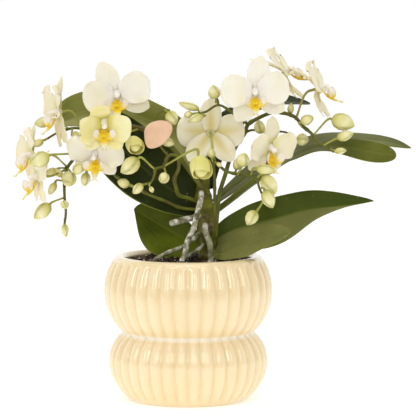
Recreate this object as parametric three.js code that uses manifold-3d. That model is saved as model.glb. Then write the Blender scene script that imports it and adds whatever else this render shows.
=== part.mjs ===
// A small many-flowered moth orchid in a ribbed, glazed, two-bellied pot.
// Millimetres, +Z up. The origin is the middle of the pot's flat underside, and the viewer
// of the front looks along +Y.
import * as THREE from "three";
import { mergeVertices } from "three/addons/utils/BufferGeometryUtils.js";
import Module from "manifold-3d";

const wasm = await Module();
wasm.setup();

// ---------- driving dimensions ----------
const gap = 0.3; // between pieces that touch

const potHeight = 110;
const upperBelly = { radius: 64, height: 83.5, arc: 43 };
const lowerBelly = { radius: 60.3, height: 30.5, arcAbove: 26, arcBelow: 36 };
const waistHeight = 51.4;
const rimRoll = 2.5; // height over which the upper belly rolls in to the rim
const rimRadius = 54;
const rimWidth = 4;
const potWall = 4.6;
const potFloor = 6;
const ribs = 36;
const ribDepth = 2.2;

const growPot = { topRadius: 44, footRadius: 32, height: 92, wall: 1.2, holes: 4, holeRadius: 4 };
const barkTop = 104;
const barkChips = 9;

// A full bloom's tepals: length from its axis, outline, and height over its plane.
const sepalSize = {
  length: 26,
  outline: { half: 8, base: 0.5, peak: 0.48, taper: 0.75 },
  lift: -1,
  spans: 4,
};
const petalSize = {
  length: 25,
  outline: { half: 12.3, base: 0.55, peak: 0.52, taper: 0.5 },
  lift: 0.9,
  spans: 5,
};
const openingSize = {
  length: 23,
  outline: { half: 8.5, base: 0.3, peak: 0.55, taper: 0.6 },
  lift: 0,
  spans: 5,
};
const tepalThickness = 0.8;
const leafThickness = 1.2;
const tepalRoot = 2.2; // a tepal starts this far from its bloom's axis
const hubBack = 3; // how far a bloom's receptacle reaches behind its tepals
const budStalkRadius = 0.8;
const shortStalk = 4; // a bud's stalk up to this length is straight

// ---------- solids and meshes ----------
const vector = (point) => new THREE.Vector3(...point);
const radians = THREE.MathUtils.degToRad;
const lerp = THREE.MathUtils.lerp;

// The same seed always gives the same row of numbers from 0 to 1.
function randomRow(seed) {
  let state = seed;
  return () => {
    state = (state * 16807) % 2147483647;
    return state / 2147483647;
  };
}

function solidOf(geometry) {
  const bare = geometry.index ? geometry.toNonIndexed() : geometry.clone();
  bare.deleteAttribute("normal");
  bare.deleteAttribute("uv");
  const merged = mergeVertices(bare, 1e-4);
  return new wasm.Manifold(
    new wasm.Mesh({
      numProp: 3,
      vertProperties: merged.attributes.position.array,
      triVerts: new Uint32Array(merged.index.array),
    }),
  );
}

function geometryOf(solid) {
  const { vertProperties, triVerts } = solid.getMesh();
  const geometry = new THREE.BufferGeometry()
    .setAttribute("position", new THREE.BufferAttribute(vertProperties, 3))
    .setIndex(new THREE.BufferAttribute(triVerts, 1));
  geometry.computeVertexNormals();
  return geometry;
}

const fuse = (solids) => solids.reduce((whole, solid) => whole.add(solid));

// The largest closed skin of a solid: loose scraps and sealed hollows go.
function oneBody(solid) {
  const bodies = solid.decompose();
  return bodies.reduce((best, body) => (body.volume() > best.volume() ? body : best));
}

// Stacked closed rings of equally many points, closed at both ends by a middle point.
function skin(rings, first, last) {
  const around = rings[0].length;
  const points = [first, ...rings.flat(), last];
  const index = [];
  const at = (ring, k) => 1 + ring * around + (k % around);
  for (let k = 0; k < around; k++) {
    index.push(0, at(0, k + 1), at(0, k));
    for (let ring = 0; ring + 1 < rings.length; ring++) {
      index.push(at(ring, k), at(ring, k + 1), at(ring + 1, k + 1));
      index.push(at(ring, k), at(ring + 1, k + 1), at(ring + 1, k));
    }
    index.push(at(rings.length - 1, k), at(rings.length - 1, k + 1), points.length - 1);
  }
  const geometry = new THREE.BufferGeometry().setFromPoints(points).setIndex(index);
  return solidOf(geometry);
}

// A round skin through stations, each a middle point and a radius. Its rings keep facing
// along the line without twisting.
function sweep(stations, sides, tipped = false) {
  const middles = stations.map(({ middle }) => middle);
  const across = new THREE.Vector3(0.31, 0.17, 0.93);
  const rings = stations.map(({ middle, radius }, i) => {
    const along = middles[Math.min(i + 1, middles.length - 1)].clone();
    along.sub(middles[Math.max(i - 1, 0)]).normalize();
    across.addScaledVector(along, -across.dot(along)).normalize();
    const up = new THREE.Vector3().crossVectors(along, across);
    return circle(middle, across, up, radius, sides);
  });
  const last = tipped ? rings.pop()[0] : middleOf(rings[rings.length - 1]);
  return skin(rings, middleOf(rings[0]), last);
}

function circle(middle, across, up, radius, sides) {
  return Array.from({ length: sides }, (_, k) => {
    const angle = (2 * Math.PI * k) / sides;
    return middle
      .clone()
      .addScaledVector(across, radius * Math.cos(angle))
      .addScaledVector(up, radius * Math.sin(angle));
  });
}

// A round stem along a smooth route, its radius eased through the list of radii.
function tube({ route, radius, sides = 4, steps = 1 }, grow = 0) {
  const curve = new THREE.CatmullRomCurve3(route.map(vector), false, "centripetal");
  const count = steps * (route.length - 1);
  const stations = [];
  for (let i = 0; i <= count; i++) {
    const middle = curve.getPoint(i / count);
    if (i === 0) middle.addScaledVector(curve.getTangent(0), -grow);
    if (i === count) middle.addScaledVector(curve.getTangent(1), grow);
    const place = (i / count) * (radius.length - 1);
    const from = Math.min(Math.floor(place), radius.length - 2);
    const wide = lerp(radius[from], radius[from + 1], place - from) + grow;
    stations.push({ middle, radius: wide });
  }
  return sweep(stations, sides);
}

function middleOf(points) {
  return points
    .reduce((sum, point) => sum.add(point), new THREE.Vector3())
    .divideScalar(points.length);
}

// Half the width of a leaf or petal at a share t of its length: it widens to the peak,
// then rounds off to a blunt tip, or a slim one with a higher taper.
function halfWidth(t, { half, base, peak, taper = 0.5 }) {
  if (t < peak) return half * (base + (1 - base) * Math.sin(((t / peak) * Math.PI) / 2));
  const past = (t - peak) / (1 - peak);
  return half * Math.max(0.03, 1 - past ** 2.2) ** taper;
}

// A blade of even thickness along a curve. Its upper side looks to `faces`, which eases
// from the first to the last vector, and both halves are raised by `fold` degrees. The
// half on its other side may have a shape of its own.
// Upper and lower side are split into triangles alike.
function blade({ curve, faces, shape, other = shape, fold = 0, thick, spans, columns }, grow = 0) {
  const half = thick / 2 + grow;
  const upper = [];
  const lower = [];
  for (let i = 0; i <= spans; i++) {
    const t = i / spans;
    const along = curve.getTangentAt(t);
    const middle = curve.getPointAt(t);
    if (i === 0) middle.addScaledVector(along, -grow);
    if (i === spans) middle.addScaledVector(along, grow);
    const wanted = faces[0].clone().lerp(faces[faces.length - 1], t);
    const side = new THREE.Vector3().crossVectors(wanted, along).normalize();
    const normal = new THREE.Vector3().crossVectors(along, side);
    for (const share of columns) {
      const wide = halfWidth(t, share < 0 ? other : shape) + grow;
      const point = middle
        .clone()
        .addScaledVector(side, share * wide * Math.cos(radians(fold)))
        .addScaledVector(normal, Math.abs(share) * wide * Math.sin(radians(fold)));
      upper.push(point.clone().addScaledVector(normal, half));
      lower.push(point.clone().addScaledVector(normal, -half));
    }
  }
  const across = columns.length;
  const under = upper.length;
  const index = [];
  const both = (a, b, c) => index.push(a, c, b, under + a, under + b, under + c);
  const wall = (a, b) => index.push(a, under + a, under + b, a, under + b, b);
  for (let i = 0; i < spans; i++) {
    for (let k = 0; k + 1 < across; k++) {
      const corner = i * across + k;
      both(corner, corner + 1, corner + across + 1);
      both(corner, corner + across + 1, corner + across);
    }
    wall(i * across, (i + 1) * across);
    wall((i + 2) * across - 1, (i + 1) * across - 1);
  }
  for (let k = 0; k + 1 < across; k++) {
    wall(k + 1, k);
    wall(spans * across + k, spans * across + k + 1);
  }
  const geometry = new THREE.BufferGeometry()
    .setFromPoints([...upper, ...lower])
    .setIndex(index);
  return solidOf(geometry);
}

// The outline of a pointed bud: shares of its length, and of half its width.
const budOutline = [
  [0.04, 0.5],
  [0.38, 1],
  [0.78, 0.66],
  [1, 0],
];

// A bud on its stalk, as one skin from the stem to the bud's tip. The stalk turns in to
// the bud's own line just before its base.
function stalkedBud([from, base, tip, width], grow) {
  const along = vector(tip).sub(vector(base));
  const reach = vector(from).distanceTo(vector(base));
  const stalk = [vector(from)];
  if (reach > shortStalk) {
    stalk.push(vector(base).addScaledVector(along.clone().normalize(), -shortStalk / 2));
  }
  const stations = stalk.map((middle) => ({ middle, radius: budStalkRadius + grow }));
  for (const [share, wide] of budOutline) {
    const middle = vector(base).addScaledVector(along, share);
    stations.push({ middle, radius: (width / 2) * wide + grow });
  }
  return sweep(stations, 5, true);
}

// ---------- pot, growing pot and bark ----------
function ribDip(angle) {
  return 1 - Math.abs(Math.sin((ribs / 2) * (angle + Math.PI / 2)));
}

// Radius of the pot's rib crests at a height: three arcs, then the roll of the rim.
function crestRadius(height) {
  const belly = height > waistHeight ? upperBelly : lowerBelly;
  const above = belly.arcAbove ?? belly.arc;
  const below = belly.arcBelow ?? belly.arc;
  const arc = height > belly.height ? above : below;
  const drop = arc - Math.sqrt(arc ** 2 - (height - belly.height) ** 2);
  const roll = Math.max(0, (height - (potHeight - rimRoll)) / rimRoll);
  return lerp(belly.radius - drop, rimRadius, roll ** 2);
}

// The ribs fade out towards the rim and the foot.
function ribFade(height) {
  const fromRim = THREE.MathUtils.smoothstep(potHeight - height, 1, 7);
  const fromFoot = THREE.MathUtils.smoothstep(height, 0, 8);
  return fromRim * fromFoot;
}

function pot() {
  const shoulder = potHeight - rimRoll;
  const heights = [0, 7, 18, 31, 43, waistHeight, 59, 71, 86, 100, shoulder, potHeight];
  const around = ribs * 3;
  const rings = heights.map((height) =>
    Array.from({ length: around }, (_, k) => {
      const angle = -Math.PI / 2 + (2 * Math.PI * k) / around;
      const radius = crestRadius(height) - ribDepth * ribFade(height) * ribDip(angle);
      return new THREE.Vector3(radius * Math.cos(angle), radius * Math.sin(angle), height);
    }),
  );
  const outside = skin(
    rings,
    new THREE.Vector3(0, 0, 0),
    new THREE.Vector3(0, 0, potHeight),
  );
  const innerHeights = [potFloor, 30.5, waistHeight, 66, 83.5, 102];
  const profile = [new THREE.Vector2(0, potFloor)];
  for (const height of innerHeights) {
    profile.push(new THREE.Vector2(crestRadius(height) - ribDepth - potWall, height));
  }
  profile.push(new THREE.Vector2(rimRadius - 1.5 * rimWidth, shoulder));
  profile.push(new THREE.Vector2(rimRadius - 0.8 * rimWidth, potHeight + 1));
  profile.push(new THREE.Vector2(0, potHeight + 1));
  return outside.subtract(solidOf(new THREE.LatheGeometry(profile, 24).rotateX(Math.PI / 2)));
}

// A turned cup wall between two heights, as one closed skin.
function frustum(footRadius, topRadius, foot, top) {
  const profile = [
    [0, foot],
    [footRadius, foot],
    [topRadius, top],
    [0, top],
  ].map(([radius, height]) => new THREE.Vector2(radius, height));
  return solidOf(new THREE.LatheGeometry(profile, 20).rotateX(Math.PI / 2));
}

function growingPot() {
  const { topRadius, footRadius, height, wall, holes, holeRadius } = growPot;
  const foot = potFloor + gap;
  let cup = frustum(footRadius, topRadius, foot, foot + height);
  cup = cup.subtract(
    frustum(footRadius - wall, topRadius - wall, foot + wall, foot + height + 0.01),
  );
  for (let k = 0; k < holes; k++) {
    const hole = new THREE.CylinderGeometry(holeRadius, holeRadius, 4 * wall, 8)
      .rotateX(Math.PI / 2)
      .translate(0.6 * footRadius, 0, foot)
      .rotateZ((2 * Math.PI * k) / holes);
    cup = cup.subtract(solidOf(hole));
  }
  return cup;
}

function bark() {
  const { topRadius, footRadius, height, wall } = growPot;
  const foot = potFloor + gap + wall + gap;
  const growTop = potFloor + gap + height;
  const topWide = topRadius - wall - 2 * gap;
  const random = randomRow(11);
  const chips = [frustum(footRadius - wall - gap, topWide, foot, growTop - 1)];
  for (let k = 0; k < barkChips; k++) {
    const spread = 37 * Math.sqrt((k + 0.5) / barkChips);
    const turn = k * 2.4;
    const height = barkTop - 2 + 2.5 * random();
    const chip = new THREE.BoxGeometry(14 + 6 * random(), 9 + 4 * random(), 7 + 2 * random())
      .rotateX(0.6 * (random() - 0.5))
      .rotateY(0.6 * (random() - 0.5))
      .rotateZ(6.3 * random())
      .translate(spread * Math.cos(turn), spread * Math.sin(turn), height);
    chips.push(solidOf(chip));
  }
  const heap = frustum(36, 30, growTop - 2, barkTop);
  const limit = frustum(topWide, topWide - 1, foot - 1, barkTop + 15);
  return oneBody(fuse(chips).add(heap).intersect(limit));
}

// ---------- stem, roots and leaves ----------
const stem = {
  route: [[15, 0, 84], [15, 0, 105], [15, 0, 121], [13, 0, 140], [11, 2, 158], [11, 4, 168]],
  radius: [4.5, 5.6, 7, 7.8, 6.6, 4],
  sides: 9,
};

const roots = {
  root_1: { route: [[10, -7, 158], [9, -13, 151], [6, -18, 140], [4, -20, 132], [-1, -23, 121],
                    [-2, -24, 115], [-5, -26, 107], [-7, -27, 94]], radius: [2.1, 2.1] },
  root_2: { route: [[9, -4, 127], [1, -12, 121], [-3, -15, 118], [-9, -17, 116], [-17, -20, 113],
                    [-26, -22, 107], [-30, -22, 94]], radius: [1.6, 1.6] },
  root_3: { route: [[13, -5, 135], [13, -14, 129], [16, -19, 122], [17, -21, 115],
                    [17, -22, 107], [17, -22, 94]], radius: [2.2, 2.4] },
  root_4: { route: [[9, -5, 140], [-3, -12, 138], [-12, -17, 136]], radius: [2.4, 2.4] },
  root_5: { route: [[12, -4, 119], [8, -13, 116], [3, -14, 113], [-3, -12, 107],
                    [-6, -10, 96]], radius: [1.3, 1.3] },
};

const leaves = {
  leaf_1: {
    route: [[11, 7, 161], [8, 12, 177], [-2, 19, 193], [-15, 24, 203], [-32, 28, 211],
            [-52, 31, 217], [-71, 29, 218], [-88, 25, 215], [-99, 20, 210]],
    faces: [[-0.2, -0.8, 0.6], [-0.3, -0.85, 0.4]],
    shape: { half: 16.5, base: 0.35, peak: 0.78, taper: 0.4 },
    fold: 12,
  },
  leaf_2: {
    route: [[9, 0, 146], [-15, 1, 161], [-41, 3, 182], [-62, 6, 202], [-79, 10, 211]],
    faces: [[0.2, -1, 0.3], [0, -1, 0.2]],
    shape: { half: 25, base: 0.4, peak: 0.5 },
    fold: 10,
  },
  leaf_3: {
    route: [[11, 6, 117], [-3, 12, 121], [-16, 18, 128], [-29, 23, 135], [-42, 27, 142]],
    faces: [[-0.3, -0.8, 0.6], [-0.3, -0.9, 0.3]],
    shape: { half: 23, base: 0.3, peak: 0.45, taper: 1.2 },
    other: { half: 15, base: 0.4, peak: 0.55 },
    fold: 12,
  },
  leaf_4: {
    route: [[16, 2, 119], [32, 2, 128], [45, 3, 132], [65, 4, 137], [91, 4, 144],
            [109, 3, 146], [126, 2, 148], [141, 0, 151]],
    faces: [[0, -0.9, 0.45], [-0.2, -0.9, 0.4]],
    shape: { half: 16, base: 0.3, peak: 0.4, taper: 0.8 },
    other: { half: 23, base: 0.35, peak: 0.33, taper: 4 },
    fold: 12,
  },
  leaf_5: {
    route: [[18, -7, 111], [27, -14, 113], [38, -23, 118], [51, -32, 124], [64, -40, 129],
            [77, -48, 133]],
    faces: [[-0.2, -0.8, 0.5], [0, -0.8, 0.5]],
    shape: { half: 11, base: 0.25, peak: 0.5, taper: 0.7 },
    fold: 14,
  },
  leaf_6: {
    route: [[20, 10, 149], [39, 16, 163], [62, 22, 178], [89, 26, 189.5], [120, 26, 195.5],
            [150, 22, 194], [170, 16, 190]],
    faces: [[0, -0.14, 1], [0, -0.24, 1]],
    shape: { half: 20, base: 0.3, peak: 0.5, taper: 0.75 },
    fold: 5,
  },
  leaf_7: {
    route: [[19, 5, 141], [33, 3, 152], [48, -1, 164], [69, -4, 178], [81, -5, 185],
            [94, -6, 191], [107, -7, 193], [119, -8, 192], [136, -8, 189], [157, -8, 186]],
    faces: [[0, 0.7, 1], [0, -0.9, 0.5]],
    shape: { half: 9.5, base: 0.3, peak: 0.85 },
    fold: 6,
  },
  leaf_8: {
    route: [[14, 8, 159], [17, 26, 181], [26, 38, 199], [44, 44, 215], [66, 46, 223], [94, 46, 222]],
    faces: [[-0.3, -0.6, 0.7], [0, -0.2, 1]],
    shape: { half: 15, base: 0.4, peak: 0.5 },
    fold: 12,
  },
};

function leaf({ route, faces, shape, other, fold }, grow) {
  const curve = new THREE.CatmullRomCurve3(route.map(vector), false, "centripetal");
  return blade(
    {
      curve,
      faces: faces.map(vector),
      shape,
      other,
      fold,
      thick: leafThickness,
      spans: 10,
      columns: [-1, 0, 1],
    },
    grow,
  );
}

// ---------- blooms ----------
// How the dorsal sepal, the petals and the side sepals rise from the bloom's plane: the
// angle at their root, and how far they curl on their way, in radians.
const flat = { dorsal: [0.1, -0.3], petals: [0.12, -0.3], sepals: [0.08, -0.3] };
const cupped = { dorsal: [0.45, 0.4], petals: [0.45, 0.4], sepals: [0.4, 0.3] };
const hollow = { dorsal: [0, -0.15], petals: [0.2, 0], sepals: [0.05, -0.2] };
const swept = { dorsal: [-0.3, -0.35], petals: [0.1, -0.4], sepals: [0.05, -0.2] };
const thrown = { dorsal: [-0.3, -0.3], petals: [-0.08, -0.2], sepals: [-0.5, 0.95] };
const hugging = [0.15, 2.1];
const loose = [0.35, 1.1];

// Each bloom's middle, the way its face looks, its size against a full one, how its tepals
// rise, and the ways they point round the face, in degrees from its right: the dorsal
// sepal, the two petals, and the two side sepals.
const evenPoints = [90, 172, 8, 230, 310];
const raisedPoints = [90, 149, 31, 232, 304];
const blooms = {
  bloom_1: { at: [-53, -26, 234], face: [0.05, -1, -0.1], size: 1.04, rise: flat,
             points: [119, 188, 19, 238, 335] },
  bloom_2: { at: [-62, -48, 214], face: [0.1, -0.9, -0.35], size: 0.95, rise: cupped,
             points: [108, 193, -8, 235, 305] },
  bloom_3: { at: [-69, -30, 190], face: [-0.2, -0.85, -0.45], size: 0.9, rise: flat,
             points: [85, 160, -2, 225, 300] },
  bloom_4: { at: [-97, -20, 220], face: [-1, -0.32, 0], size: 1.04, rise: hollow,
             points: [90, 150, 35, 262, 305] },
  bloom_5: { at: [-118, -8, 187], face: [-1, -0.4, 0.05], size: 0.9, rise: hollow,
             points: [100, 165, 65, 235, 272] },
  bloom_6: { at: [-112, -27, 172], face: [-1, -0.4, 0], size: 0.85, rise: swept,
             points: [100, 175, 30, 240, 300] },
  bloom_7: { at: [17, -10, 203], face: [0, 1, -0.1], size: 1.04, rise: flat,
             points: evenPoints },
  bloom_8: { at: [50, -32, 236], face: [0.05, -1, -0.05], size: 1.04, rise: flat,
             points: [80, 178, 10, 240, 325] },
  bloom_9: { at: [73, -4, 249], face: [0.78, -0.13, 0.6], size: 1.08, rise: thrown,
             points: raisedPoints },
  bloom_10: { at: [98, -12, 237.5], face: [0.9, -0.16, 0.38], size: 1.08, rise: thrown,
              points: raisedPoints },
  bloom_11: { at: [61, -26.5, 194], face: [0.6, -0.75, -0.25], size: 0.9, rise: hollow,
              points: evenPoints },
};

// A frame whose +Z looks along `face` and whose +Y leans to the world's up.
function frameOf({ at, face }) {
  const ahead = vector(face).normalize();
  const right = new THREE.Vector3(0, 0, 1).cross(ahead).normalize();
  const up = new THREE.Vector3().crossVectors(ahead, right);
  return new THREE.Matrix4().makeBasis(right, up, ahead).setPosition(vector(at));
}

const moved = (solid, frame) => solid.transform(frame.elements);

// The middle line of a tepal that leaves the hub at an angle and curls as it goes.
function tepalLine(angle, length, lift, [start, curl]) {
  const points = [];
  let radial = tepalRoot;
  let height = lift;
  const steps = 6;
  for (let i = 0; i <= steps; i++) {
    const x = radial * Math.cos(radians(angle));
    const y = radial * Math.sin(radians(angle));
    points.push(new THREE.Vector3(x, y, height));
    const rise = start + (curl * (i + 0.5)) / steps;
    radial += ((length - tepalRoot) / steps) * Math.cos(rise);
    height += ((length - tepalRoot) / steps) * Math.sin(rise);
  }
  return new THREE.CatmullRomCurve3(points);
}

function tepal(angle, { length, outline, lift, spans }, size, bend, grow) {
  return blade(
    {
      curve: tepalLine(angle, length * size, lift, bend),
      faces: [new THREE.Vector3(0, 0, 1), new THREE.Vector3(0, 0, 1)],
      shape: { ...outline, half: outline.half * size },
      thick: tepalThickness,
      spans,
      columns: [-1, 1],
    },
    grow,
  );
}

// Three sepals behind, two broad petals in front, and the hub that runs on as the column.
function bloom(spec, grow = 0) {
  const { size, rise, points } = spec;
  const column = {
    route: [[0, 0, -hubBack], [0, 0, 0], [0, -0.3, 4], [0, -1.2, 8]],
    radius: [1.5, 3.6, 1.9, 1.7],
    sides: 6,
  };
  const [dorsal, ...sides] = points;
  const parts = [tube(column, grow), tepal(dorsal, sepalSize, size, rise.dorsal, grow)];
  for (const petal of sides.slice(0, 2)) {
    parts.push(tepal(petal, petalSize, size, rise.petals, grow));
  }
  for (const sepal of sides.slice(2)) {
    parts.push(tepal(sepal, sepalSize, size, rise.sepals, grow));
  }
  return moved(fuse(parts), frameOf(spec));
}

// The lip: a hooked middle lobe that hangs below the column, and two side lobes that
// stand up beside it.
function lip(spec, grow = 0) {
  const middle = {
    curve: new THREE.CatmullRomCurve3(
      [[0, -4.2, 2.6], [0, -9, 4], [0, -12.5, 7], [0, -16, 12]].map(vector),
    ),
    faces: [new THREE.Vector3(0, 1, 0.6), new THREE.Vector3(0, 1, 0.6)],
    shape: { half: 3.4, base: 0.5, peak: 0.35 },
    thick: 1,
    spans: 3,
    columns: [-1, 1],
  };
  const lobes = [-1, 1].map((side) => ({
    curve: new THREE.CatmullRomCurve3(
      [[side * 1.6, -9.5, 4.8], [side * 5, -8.5, 6.5], [side * 7.5, -3, 8.5]].map(vector),
    ),
    faces: [new THREE.Vector3(-side, 0.6, 0.9), new THREE.Vector3(-side, 0, 1.2)],
    shape: { half: 3.2, base: 0.6, peak: 0.5 },
    thick: 0.8,
    spans: 2,
    columns: [-1, 1],
  }));
  const parts = [middle, ...lobes].map((part) => blade(part, grow));
  return moved(fuse(parts), frameOf(spec));
}

// Two blooms still opening: an inner globe of petals in three sepals, each at its own
// angle round the axis and either hugging the globe or loose.
const openingBlooms = {
  opening_bloom_1: { at: [8, -40, 187], face: [0.15, -0.7, -0.7], size: 1,
                     sepals: [[90, hugging], [195, loose], [325, hugging]] },
  opening_bloom_2: { at: [-42, -29, 200], face: [0.3, -0.85, -0.5], size: 0.8,
                     sepals: [[70, hugging], [190, hugging], [310, hugging]] },
};

function openingBloom(spec, grow = 0) {
  const { size, sepals } = spec;
  const globe = budOutline.map(([share, wide]) => ({
    middle: new THREE.Vector3(0, 0, (20 * share - 1) * size),
    radius: 7.5 * size * wide + grow,
  }));
  const parts = [sweep(globe, 8, true)];
  for (const [angle, bend] of sepals) {
    parts.push(tepal(angle, openingSize, size, bend, grow));
  }
  return moved(fuse(parts), frameOf(spec));
}

// ---------- flower spikes ----------
// A spike is its stem, its side stems, its buds and the stalks of its blooms.
// A bud is [point on the stem, its base, its tip, its width], and a flower is
// [point on the stem, bloom, points that its stalk bends through].
const spikes = {
  spike_1: {
    stem: { route: [[13, -2, 156], [8, -8, 165], [-2, -11, 179], [-15, -13, 196], [-35, -15, 207],
                    [-59, -15, 210], [-75, -15, 206], [-83, -13, 196], [-85, -11, 186],
                    [-91, -11, 177], [-93, -12, 166], [-93, -14, 156], [-92, -15, 144],
                    [-93, -15, 135]], radius: [1.9, 1.7, 1.4, 0.9] },
    sideStems: [
      { route: [[-75, -15, 206], [-86, -9, 207], [-97, -7, 204], [-108, -12, 198]],
        radius: [1.1, 0.8] },
    ],
    buds: [
      [[-93, -15, 139], [-93, -15, 135], [-92, -15, 125], 5.5],
      [[-93, -14, 154], [-93, -18, 151], [-92, -25, 149], 6.5],
      [[-93, -14, 155], [-104, -15, 150], [-116, -16, 139], 10.5],
      [[-93, -12, 168], [-91, -17, 172], [-87, -28, 167], 11.5],
      [[-93, -12, 167], [-100, -12, 166], [-105, -13, 157], 6],
      [[-91, -11, 177], [-99, -12, 176], [-108, -14, 171], 6.5],
      [[-92, -11, 173], [-95, -14, 171], [-100, -17, 177], 5.5],
      [[-91, -11, 177], [-84, -28, 175], [-79, -34, 182], 8.5],
      [[-87, -9, 207], [-86, -16, 202], [-81, -22, 202], 6.5],
      [[-89, -8, 206], [-104, 8, 212], [-117, 8, 209], 8.5],
      [[-91, -11, 178], [-103, -47, 189], [-117, -51, 184], 12],
      [[-106, -11, 199], [-109, -14, 198], [-117, -15, 194], 6],
    ],
    flowers: [
      [[-50, -15, 209], "bloom_1"],
      [[-66, -15, 208], "bloom_2", [-66, -30, 203]],
      [[-78, -14, 204], "bloom_4"],
      [[-85, -11, 188], "bloom_5"],
      [[-92, -11, 176], "bloom_6"],
      [[-37, -15, 207], "opening_bloom_2"],
    ],
  },
  spike_2: {
    stem: { route: [[9, -5, 150], [1, -10, 154], [-7, -14, 157], [-9, -18, 163], [-10, -22, 170],
                    [-7, -26, 178], [-8, -28, 187], [-14, -30, 188], [-16, -31, 185],
                    [-18, -32, 180], [-24, -33, 178], [-25, -34, 173], [-28, -35, 168],
                    [-33, -36, 167]], radius: [1.5, 1.5, 1.3, 0.8] },
    sideStems: [
      { route: [[-15, -30, 188], [-21, -32, 196], [-24, -33, 205], [-24, -33, 215],
                [-20, -32, 221], [-14, -31, 222]], radius: [0.9, 0.8] },
    ],
    buds: [
      [[-17, -32, 222], [-14, -31, 221], [-9, -31, 211], 9.5],
      [[-18, -32, 180], [-17, -35, 174], [-19, -43, 169], 8],
      [[-25, -33, 178], [-37, -38, 186], [-50, -40, 176], 12],
      [[-31, -36, 167], [-34, -36, 167], [-41, -37, 160], 7],
      [[-28, -35, 168], [-28, -38, 165], [-26, -41, 161], 3.5],
      [[-22, -32, 199], [-20, -28, 199], [-10, -27, 196], 7],
    ],
    flowers: [[[-18, -32, 180], "opening_bloom_1"]],
  },
  spike_3: {
    stem: { route: [[18, -7, 120], [20, -13, 130], [20, -16, 142], [20, -18, 156], [20, -22, 169],
                    [20, -26, 182], [29, -30, 176], [45, -34, 173], [51, -36, 172],
                    [53, -39, 165], [57, -41, 156]], radius: [1.2, 1.2, 1.1, 0.8] },
    sideStems: [],
    buds: [
      [[20, -26, 182], [18, -27, 186], [17, -28, 194], 6],
      [[20, -26, 182], [22, -30, 182], [25, -34, 180], 3.5],
      [[37, -33, 174], [40, -34, 180], [43, -36, 190], 10.5],
      [[36, -32, 175], [36, -28, 177], [39, -28, 187], 7],
      [[47, -34, 173], [51, -40, 179], [65, -42, 177], 8],
      [[51, -36, 171], [56, -40, 173], [65, -44, 160], 12],
      [[54, -39, 164], [57, -46, 163], [63, -47, 150], 10],
      [[57, -41, 156], [51, -43, 147], [44, -44, 137], 9.5],
    ],
    flowers: [[[20, -26, 182], "bloom_7"]],
  },
  spike_4: {
    stem: { route: [[21, -5, 125], [22, -5, 141], [24, -3, 158], [28, -1, 171], [32, 0, 184],
                    [37, 0, 194], [43, -1, 203], [45, -3, 209], [54, -7, 215], [65, -9, 219],
                    [74, -11, 218], [81, -12, 215], [86, -14, 209], [93, -15, 203],
                    [96, -16, 198], [104, -18, 194], [109, -19, 190]],
            radius: [1.5, 1.6, 1.5, 1.4, 0.9] },
    sideStems: [
      { route: [[45, -3, 209], [41, -10, 214], [36, -16, 217], [23, -20, 225], [13, -22, 220],
                [5, -24, 219]], radius: [1.2, 0.8] },
      { route: [[43, -1, 203], [48, -2, 205], [58, -2, 204], [69, -2, 204], [75, -3, 203],
                [81, -5, 199]], radius: [0.9, 0.7] },
      { route: [[23, -20, 225], [22, -20, 229], [21, -20, 231]], radius: [0.8, 0.7] },
    ],
    buds: [
      [[21, -20, 227], [21, -20, 230], [19, -21, 240], 9.5],
      [[9, -23, 219], [8, -21, 222], [-7, -23, 227], 6],
      [[9, -23, 219], [11, -27, 217], [0, -29, 213], 6.5],
      [[7, -24, 219], [3, -24, 219], [-3, -25, 217], 5.5],
      [[53, -2, 205], [54, -5, 203], [53, -8, 213], 8.5],
      [[79, -4, 200], [82, -6, 199], [91, -8, 197], 9.5],
      [[86, -14, 208], [85, -18, 212], [94, -22, 216], 8],
      [[94, -15, 202], [108, -16, 214], [125, -18, 209], 13],
      [[102, -18, 195], [112, -20, 200], [124, -22, 204], 7.5],
      [[107, -19, 192], [110, -19, 190], [119, -20, 191], 5],
      [[79, -12, 216], [77, -9, 218], [78, -8, 226], 5],
    ],
    flowers: [
      [[60, -8, 218], "bloom_8"],
      [[70, -9, 219], "bloom_9"],
      [[81, -12, 214], "bloom_10"],
      [[58, -2, 204], "bloom_11"],
    ],
  },
  spike_5: {
    stem: { route: [[7, -6, 145], [-6, -10, 147], [-17, -12, 152], [-29, -14, 157], [-41, -15, 163],
                    [-54, -16, 171], [-62, -16, 179]], radius: [1.3, 0.8] },
    sideStems: [],
    buds: [
      [[-36, -15, 160], [-44, -20, 165], [-53, -22, 168], 7],
      [[-58, -16, 175], [-76, -18, 174], [-78, -20, 164], 7.5],
    ],
    flowers: [[[-62, -16, 179], "bloom_3"]],
  },
};

// The stalk that carries a bloom: it comes to the hub from behind.
function flowerStalk([from, name, ...bends], grow) {
  const flower = blooms[name] ?? openingBlooms[name];
  const ahead = vector(flower.face).normalize();
  const behind = (distance) => vector(flower.at).addScaledVector(ahead, -distance).toArray();
  const hub = blooms[name] ? hubBack : 1.4;
  const route = [from, ...bends, behind(hub + 7), behind(hub + gap + grow)];
  return tube({ route, radius: [0.9, 0.8] }, grow);
}

function spike({ stem: main, sideStems, buds, flowers }, grow = 0) {
  const parts = [tube({ ...main, sides: 5 }, grow)];
  for (const side of sideStems) parts.push(tube(side, grow));
  for (const bud of buds) parts.push(stalkedBud(bud, grow));
  for (const flower of flowers) parts.push(flowerStalk(flower, grow));
  return fuse(parts);
}

// ---------- tag ----------
const tag = {
  at: [-22, -35.2, 204],
  width: 21,
  height: 21,
  thick: 0.8,
  stalk: [-24, -33],
  clipRadius: 2.3,
};

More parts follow.
